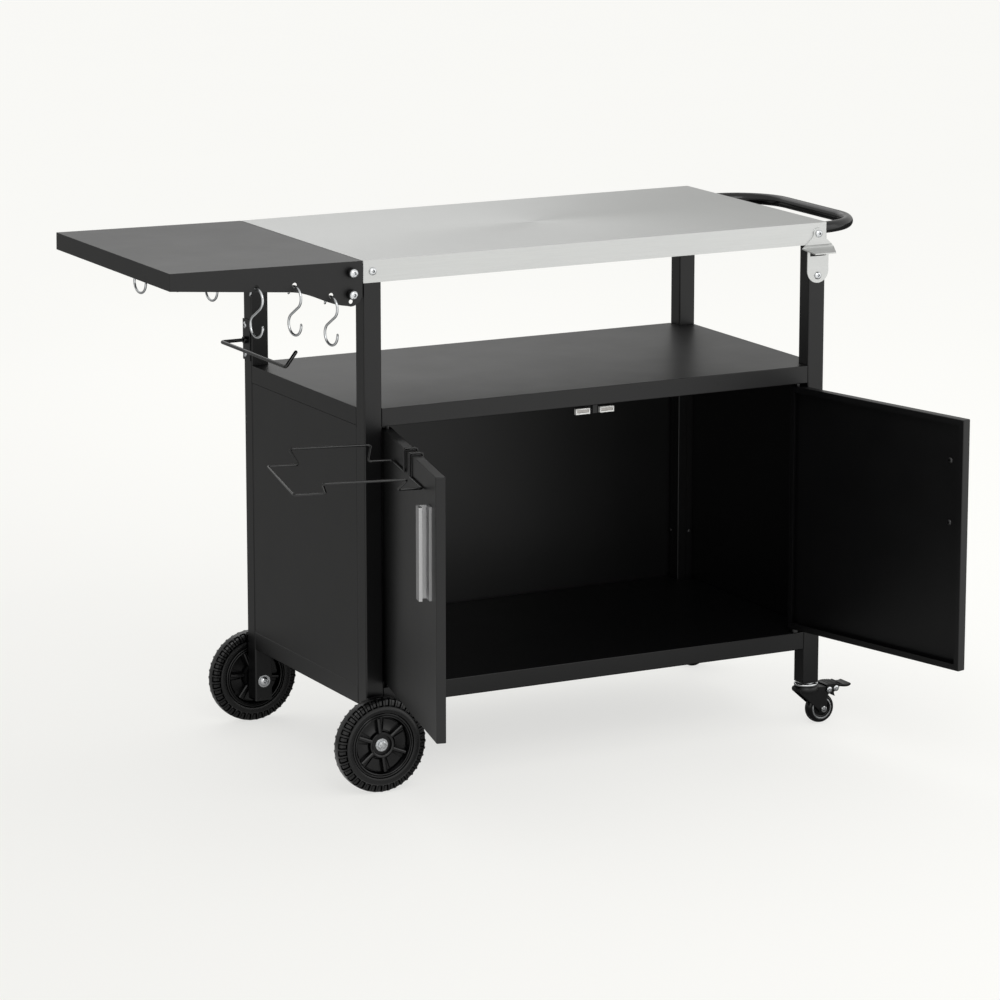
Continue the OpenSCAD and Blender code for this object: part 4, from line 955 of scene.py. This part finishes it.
class CART_OT_casters(Operator):
    """Presses, turns and moulds one caster, and sets both of them under the right legs"""
    bl_idname = "grill_cart.casters"
    bl_label = "Casters"

    def execute(self, context):
        race = turned("race", [
            (5.1, 67), (18.6, 67), (19.7, 67.4), (20, 68.2), (20, 69.8), (19.7, 70.6), (18.6, 71),
            (15.8, 71.1), (15, 71.7), (15, 73), (5.1, 73)], 64)
        stem = turned("stem", [
            (0, 57.4), (6.9, 57.4), (7.5, 58), (7.5, 60.4), (5, 60.4), (5, 102.2), (4.2, 103),
            (0, 103)], closed=False)
        tread = turned("tread", both_faces([
            (17.1, 2.4), (18.4, 1.8), (20, 1.6), (21.7, 2), (23.2, 3.2), (24.3, 5), (24.9, 7.4)],
            CASTER_WIDTH, [(CASTER_RADIUS, CASTER_WIDTH / 2)]), 72)
        rim = turned("rim", both_faces([
            (15.3, 2.8), (15.5, 1.4), (15.9, 0.8), (16.8, 0.6), (17.8, 0.9), (18.2, 1.8),
            (17.1, 2.2)], CASTER_WIDTH), 64)
        web = turned("web", both_faces([
            (3.1, 0), (6.6, 0), (7.1, 0.5), (7.5, 4.4), (12.2, 4.8), (13, 3), (13.6, 2.6),
            (14.4, 2.6), (15.3, 3.4)], CASTER_WIDTH), 64)
        rivet = turned("rivet", [
            (0, 0), (2, 0), (2, 15.5), (4.6, 15.5), (5, 15.8), (4.8, 16.3), (3.8, 16.8),
            (1.8, 16.9), (1.3, 16.2), (0, 16.1)], 32, closed=False)
        axle = turned("axle", [
            (0, -17.6), (1.5, -17.6), (1.9, -17.2), (1.9, -14.4), (3, -14.4), (3, 13.7),
            (5.2, 13.7), (5.4, 14), (5.2, 14.8), (4.4, 15.4), (0, 15.5)], 32, closed=False)
        nut = put(hex_nut("nut", 5.4, 3, 2.95), at(0, 0, -16.7))
        across, flip = turn(90, "X"), turn(180, "X")
        hub_mid = at(CASTER_TRAIL, 0, CASTER_RADIUS) @ across
        lying = hub_mid @ at(0, 0, -CASTER_WIDTH / 2)

        def rivets(x, z):
            return [copy_of(rivet, at(x, 0, z) @ across @ way) for way in (Matrix(), flip)]

        pins = join("pins", copy_of(axle, hub_mid @ flip), copy_of(nut, hub_mid @ flip),
                    *rivets(36, 57))
        fork, pedal = self.fork(), self.pedal()
        studs = join("studs", *rivets(49, 58))
        # No CAD node stands for the studs and the web: they go with the pedal and the core
        for side in ("front", "rear"):
            for piece, part, own, slot in (
                    (fork, "fork", Matrix(), None), (pins, "pins", Matrix(), None),
                    (tread, "tread", lying, None), (rim, "core", lying, None),
                    (pedal, "pedal", Matrix(), None),
                    (studs, "pedal", Matrix(), "zinc"), (web, "core", lying, "plastic")):
                made = copy_of(piece, caster_place(side) @ own)
                made.name = f"caster_{piece.name}_{side}" if slot else f"caster_{part}_{side}_made"
                dress(made, f"caster_{part}_{side}", slot)
        places = [caster_place(side) for side in ("front", "rear")]
        for piece, node in ((race, "caster_races"), (stem, "caster_stems")):
            dress(spread(piece, places, node + "_turned"), node)
        discard(tread, rim, web, rivet, axle, nut, pins, studs, fork, pedal)
        return {"FINISHED"}

    def fork(self):
        """A pressed fork: a dished crown whose skirt runs down into two cheeks."""
        crown = turned("crown", [
            (5.1, 61), (17.4, 61), (19.2, 59.4), (20, 57), (21, 57), (21.2, 60.6), (20.6, 64),
            (19.4, 65.8), (17.4, 66.6), (5.1, 66.7)], 64)
        outline = [(-18, 63.4), (-19.4, 60), (-18.6, 56.6), (18.4, 23.4), (20.4, 19.6),
                   (23.6, 17.6), (28, 17.6), (31.4, 19.6), (33, 22.8), (33.4, 28), (34, 42),
                   (35.6, 48), (38.6, 51.6), (41.4, 54), (42, 57.6), (40.6, 61), (37, 62.6),
                   (12, 63.6)]
        cheeks = [smooth(prism("cheek", outline, y - 1, y + 1, 0.6, 3), flat_faces=True)
                  for y in (-12.5, 12.5)]
        return join("fork", crown, *cheeks, block("roof", (8, -13.4, 60.6), (34, 13.4, 63.2), 1))

    def pedal(self):
        """A ribbed cap on the fork, a flared tongue and a toothed shoe over the wheel."""
        side = [(32, 64.4), (31.4, 58), (33, 53.4), (37, 52), (41, 53), (44, 55.4), (47, 53),
                (51, 53.2), (54.4, 56.6), (56, 61), (56, 64), (44, 66)]
        parts = [smooth(prism("pedal side", side, low, low + 1.6, 0.4), flat_faces=True)
                 for low in (-15.3, 13.7)]
        top = [(31, 65.4), (34, 66.8), (39, 67.4), (45, 67), (50, 65.6), (53.4, 63.8), (56, 64.2),
               (57.4, 66), (59.4, 66), (60.6, 64.2), (66, 62.9), (72, 62.6), (75.4, 63.8),
               (77.4, 63.4), (78, 62), (77.4, 60.4)]
        under = [(74, 58.6), (69, 58.2), (63, 58.8), (57, 60), (51, 62.4), (45, 64.4), (39, 64.9),
                 (34, 64.4), (31.2, 64)]
        parts.append(smooth(prism("pedal cap", top + under, -15.3, 15.3, 0.6)))
        for i in range(5):
            x = 36 + 3.7 * i
            z = 67.9 - 0.0065 * (x - 39) ** 2       # The cap's own crown
            parts.append(block("rib", (x, -13.6, z - 3), (x + 1.9, 13.6, z), 0.6))
        for tooth in ([(40.4, 64), (41.4, 54), (45.8, 46.2), (50.6, 43), (48.4, 49.6), (50.8, 52.4),
                       (49.6, 64)],
                      [(49, 64), (50.6, 55), (53.4, 52.2), (55.2, 54.6), (54.6, 63)]):
            parts.append(smooth(prism("shoe", tooth, -9.6, 9.6), flat_faces=True))
        return join("pedal", *parts)


class CART_OT_doors(Operator):
    """Shapes the door handles, and turns the hinge pins and washers"""
    bl_idname = "grill_cart.doors"
    bl_label = "Door Fittings"

    def execute(self, context):
        for node in ("door_handle_left", "door_handle_right"):
            sheet(node, 0.9 * MM, narrowest=1.6 * MM)
        washer = turned("washer", ring(3.1, 7, 0, 5.8, 0.4))
        low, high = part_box("hinge_washers")
        y = (low.y + high.y) / 2
        places = [Matrix.Translation((x, y, low.z)) for x in (low.x + 7 * MM, high.x - 7 * MM)]
        dress(spread(washer, places, "hinge_washers_turned"), "hinge_washers")
        low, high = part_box("hinge_pins")
        y = (low.y + high.y) / 2
        pins = []
        for length, z, way in ((14.2, high.z - 2 * MM, 0), (15.2, low.z + 2 * MM, 180)):
            pin = turned("pin", [(0, -length), (2.4, -length), (3, 0.6 - length), (3, 0), (4.1, 0),
                                 (4.5, 0.3), (4.4, 1.2), (3.6, 1.9), (0, 2)], 32, closed=False)
            pins.append(spread(pin, [Matrix.Translation((x, y, z)) @ turn(way, "X")
                                     for x in (low.x + 4.5 * MM, high.x - 4.5 * MM)]))
        dress(join("hinge_pins_turned", *pins), "hinge_pins", finish="blackened")
        return {"FINISHED"}


class CART_OT_catch(Operator):
    """Sets two magnets in moulded white frames on the catch"""
    bl_idname = "grill_cart.catch"
    bl_label = "Magnetic Catch"

    def execute(self, context):
        low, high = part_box("catch_magnets")
        wide, deep, tall, wall = 25.4, 6, 9.4, 2.3
        holder = block("holder", (0, 0, 0), (wide, deep, tall))
        edit(holder)
        pick(holder, "FACE", lambda face: face.normal.y < -0.9)
        bpy.ops.mesh.inset(thickness=wall * MM, depth=0)
        bpy.ops.mesh.inset(thickness=0, depth=-3 * MM)
        done()
        bevel(holder, 0.4 * MM, 2, lambda edge: edge.calc_face_angle_signed(0) > 1 and any(
            point.co.y < 0.1 * MM for point in edge.verts))
        smooth(holder, flat_faces=True)
        inset = wall + 0.2
        core = block("core", (inset, 0.8, inset), (wide - inset, 3.2, tall - inset), 0.3)
        places = [Matrix.Translation((x, low.y, low.z)) for x in (low.x, high.x - wide * MM)]
        dress(spread(holder, places, "magnet_frames"), "catch_magnets")
        dress(spread(core, places, "magnets"), "catch_magnets", "magnet_frame", "magnet")
        return {"FINISHED"}


class CART_OT_towel_holder(Operator):
    """Bends the towel rod and turns the collar at its root"""
    bl_idname = "grill_cart.towel_holder"
    bl_label = "Towel Holder"

    def execute(self, context):
        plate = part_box("towel_plate")
        x, z = plate[0].x, (plate[0].z + plate[1].z) / 2
        y = corner(0, DEPTH - LEG_MID + 1, 0).y
        bar_x, end_y, lean = x - 43.5 * MM, y - 246 * MM, math.radians(38)
        tip = Vector((bar_x, end_y, z)) + 31 * MM * Vector((math.sin(lean), 0, math.cos(lean)))
        path = rounded([(x, y, z), (bar_x, y, z), (bar_x, end_y, z), tip], [4.5 * MM] * 2, 10)
        rod = wire("towel_rod_wire", path, 3 * MM)
        collar = turned("collar", [(2.6, 0), (6, 0), (6, 5), (5.4, 5.8), (4.6, 6), (2.6, 6)])
        put(collar, pointing((-1, 0, 0), (x, y, z)))
        dress(join("towel_rod_wire", collar, rod), "towel_rod", finish="enamel")
        return {"FINISHED"}


class CART_OT_push_handle(Operator):
    """Bends the push handle from one tube"""
    bl_idname = "grill_cart.push_handle"
    bl_label = "Push Handle"

    def execute(self, context):
        low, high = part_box("push_handle")
        radius = (high.z - low.z) / 2
        z = (low.z + high.z) / 2
        front, back, far = low.y + radius, high.y - radius, high.x - radius
        corners = [(low.x, front, z), (far, front, z), (far, back, z), (low.x, back, z)]
        path = rounded(corners, [92 * MM] * 2, 28)
        made = wire("push_handle_tube", path, radius, tips=False, sides=12)
        dress(made, "push_handle", finish="enamel")
        return {"FINISHED"}


class CART_OT_hooks(Operator):
    """Bends one S-hook and hangs its copies in the side shelf's holes"""
    bl_idname = "grill_cart.hooks"
    bl_label = "Hooks"

    def execute(self, context):
        radius, loop, pitch = 2 * MM, 17 * MM, 41 * MM
        cross = math.asin(2 * loop / pitch)
        tip = math.radians(10)

        def arc(middle, start, sweep, steps):
            angles = [start + sweep * i / steps for i in range(steps + 1)]
            return [middle + loop * Vector((math.cos(a), math.sin(a), 0)) for a in angles]

        upper = arc(Vector((0, -loop, 0)), tip, math.pi + cross - tip, 40)
        lower = arc(Vector((0, -loop - pitch, 0)), -math.pi - tip, math.pi + tip + cross, 44)
        first = wire("hook", upper + lower[::-1], radius)
        # The hook stands in the YZ plane, then turns about the vertical
        upright = Matrix(((0, 0, 1, 0), (1, 0, 0, 0), (0, 1, 0, 0), (0, 0, 0, 1)))
        for side in ("front", "rear"):
            for i in range(1, 4):
                node = f"hook_{side}_{i}"
                low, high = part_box(node)
                made = copy_of(first, turn(9, "Z") @ upright)
                a, b = limits([point.co for point in made.data.vertices])
                put(made, Matrix.Translation((low + high) / 2 - (a + b) / 2))
                made.name = node + "_wire"
                dress(made, node)
        discard(first)
        return {"FINISHED"}


class CART_OT_bag_holder(Operator):
    """Bends the bag holder from one wire"""
    bl_idname = "grill_cart.bag_holder"
    bl_label = "Bag Holder"

    def execute(self, context):
        # The wire's corners in the closed door's own frame, as the solids have them
        r, face, top = 1.9 * MM, -7.5 * MM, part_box("door_left")[1].z
        drop, tail, mid, uprights, width, reach = (n * MM for n in (33, 24, 186, 37, 208, 196))
        ear_in, ear_out, ear_w, ear_h = (n * MM for n in (40, 158, 25, 20))
        y_out = face - 0.8 * MM - r
        crest, low = top + 0.6 * MM + r, top - drop
        up = low + ear_h

        def side(s):
            x1, x2 = mid + s * uprights / 2, mid + s * width / 2
            x3 = x2 + s * ear_w
            return [(x1, -y_out, top - tail), (x1, -y_out, crest), (x1, y_out, crest),
                    (x1, y_out, low), (x2, y_out, low), (x2, face - ear_in, low),
                    (x3, face - ear_in + ear_h / 2, up), (x3, face - ear_out, up),
                    (x2, face - ear_out + ear_h / 2, low), (x2, face - reach, low)]

        corners = side(-1) + side(1)[::-1]
        radii = [3.5 * MM] * (len(corners) - 2)
        made = wire("bag_holder_wire", rounded(corners, radii), r, sides=5)
        dress(put(made, door_place("left")), "bag_holder", finish="enamel")
        return {"FINISHED"}


class CART_OT_stage(Operator):
    """Sets the floor, the light and the camera"""
    bl_idname = "grill_cart.stage"
    bl_label = "Stage"

    def execute(self, context):
        context.scene.view_settings.view_transform = "Standard"
        pale = linear(colours().surroundings)
        self.lay_floor(pale)
        self.light(context.scene, pale)
        self.set_camera(context.scene)
        return {"FINISHED"}

    def lay_floor(self, pale):
        """A painted floor that keeps the cart's shadow and shows in the steel."""
        floor = add("circle", "floor", vertices=96, radius=70, fill_type="NGON", location=(0, 0, 0))
        made, tree, where = blank("Pale painted floor")
        patch = add_node(tree, "TexNoise", lumps(where, 0.6))
        paint = add_node(tree, "BsdfDiffuse", [mottled(tree, colours().floor, patch, 0.99, 1.0)])
        rays = add_node(tree, "LightPath").outputs
        place = add_node(tree, "SeparateXYZ", [where]).outputs
        # The camera sees the paint mostly as it is, lighter to the right, with softened shadows
        glow = add_node(tree, "MapRange", [place["X"], -1.2, 1.0, 1.02, 1.2])
        plain = add_node(tree, "Emission", [pale, glow])
        share = add_node(tree, "Math", [rays["Is Camera Ray"], 0.62], operation="MULTIPLY")
        mixed = add_node(tree, "MixShader", [share, paint, plain])
        # What the steel and the coat mirror of it is bright in front of the cart and dim behind it
        dim = add_node(tree, "MapRange", [place["Y"], -0.8, 0.6, 1.24, 0.34])
        # The floor under the cart and behind its right half lies in the cart's own shade
        left = add_node(tree, "MapRange", [place["X"], -0.4, -0.1, 1.0, 0.2])
        ahead = add_node(tree, "MapRange", [place["Y"], -0.75, -0.4, 1.0, 0.2])
        lit = add_node(tree, "Math", [left, ahead], operation="MAXIMUM")
        mirrored = add_node(tree, "Emission", [
            pale, add_node(tree, "Math", [dim, lit], operation="MULTIPLY")])
        mixed = add_node(tree, "MixShader", [rays["Is Glossy Ray"], mixed, mirrored])
        add_node(tree, "OutputMaterial", [mixed])
        floor.data.materials.append(made)

    def light(self, scene, pale):
        """Soft studio walls and three area lamps."""
        scene.world = bpy.data.worlds.new("Studio")
        tree = emptied(scene.world)
        rays = add_node(tree, "LightPath").outputs
        shiny = add_node(tree, "Math", [rays["Is Glossy Ray"], rays["Is Transmission Ray"]],
                         operation="MAXIMUM")
        # What the steel mirrors is darker behind the cart than in front of it
        where = add_node(tree, "TexCoord").outputs["Generated"]
        way = add_node(tree, "SeparateXYZ", [where]).outputs
        front = add_node(tree, "MapRange", [way["Y"], -0.9, 0.9, 1.15, 0.58])
        soft, walls, plain = (
            add_node(tree, "Background", [pale, power]) for power in (0.8, front, 1.0))
        mixed = add_node(tree, "MixShader", [shiny, soft, walls])
        mixed = add_node(tree, "MixShader", [rays["Is Camera Ray"], mixed, plain])
        add_node(tree, "OutputWorld", [mixed])

        for name, place, aim, size, power in (
                ("key", (-0.8, -3.2, 2.8), (0, 0, 0.5), 2.0, 34),
                ("fill", (2.8, -2.4, 1.6), (0, 0, 0.5), 2.4, 12),
                ("back", (0.6, 3.0, 2.8), (0, 0, 0.6), 2.4, 14)):
            deselect()
            bpy.ops.object.light_add(type="AREA", location=place)
            lamp = bpy.context.object
            lamp.name = name
            lamp.data.size, lamp.data.energy = size, power
            lamp.rotation_euler = (Vector(place) - Vector(aim)).to_track_quat("Z", "Y").to_euler()

    def set_camera(self, scene):
        """The camera, at the photograph's viewing angle."""
        deselect()
        bpy.ops.object.camera_add(
            location=CAMERA_PLACE, rotation=(math.pi / 2 - CAMERA_DIP, 0, -CAMERA_YAW))
        scene.camera = bpy.context.object
        scene.camera.name = "camera"
        lens = scene.camera.data
        lens.sensor_width, lens.lens = 36, CAMERA_LENS
        lens.shift_x, lens.shift_y = CAMERA_SHIFT
        lens.clip_end = 200


class CART_PT_panel(Panel):
    """Lists the cart's sizes, colours and steps"""
    bl_idname = "CART_PT_panel"
    bl_label = "Grill Cart"
    bl_space_type = "VIEW_3D"
    bl_region_type = "UI"
    bl_category = "Grill Cart"

    def draw(self, context):
        for group in (context.scene.cart_sizes, context.scene.cart_colours):
            for key in group.__annotations__:
                self.layout.prop(group, key)
        for step in STEPS:
            self.layout.operator(step.bl_idname)


GROUPS = (CartSizes, CartColours)
STEPS = (CART_OT_finishes, CART_OT_sheets, CART_OT_fasteners, CART_OT_wheels, CART_OT_casters,
         CART_OT_doors, CART_OT_catch, CART_OT_towel_holder, CART_OT_push_handle, CART_OT_hooks,
         CART_OT_bag_holder, CART_OT_stage)


def register():
    for one in (*GROUPS, *STEPS, CART_PT_panel):
        bpy.utils.register_class(one)
    bpy.types.Scene.cart_sizes = PointerProperty(type=CartSizes)
    bpy.types.Scene.cart_colours = PointerProperty(type=CartColours)


def unregister():
    del bpy.types.Scene.cart_colours
    del bpy.types.Scene.cart_sizes
    for one in reversed((*GROUPS, *STEPS, CART_PT_panel)):
        bpy.utils.unregister_class(one)


def main():
    register()
    for step in STEPS:
        group, name = step.bl_idname.split(".")
        getattr(getattr(bpy.ops, group), name)()


if __name__ == "__main__":
    main()
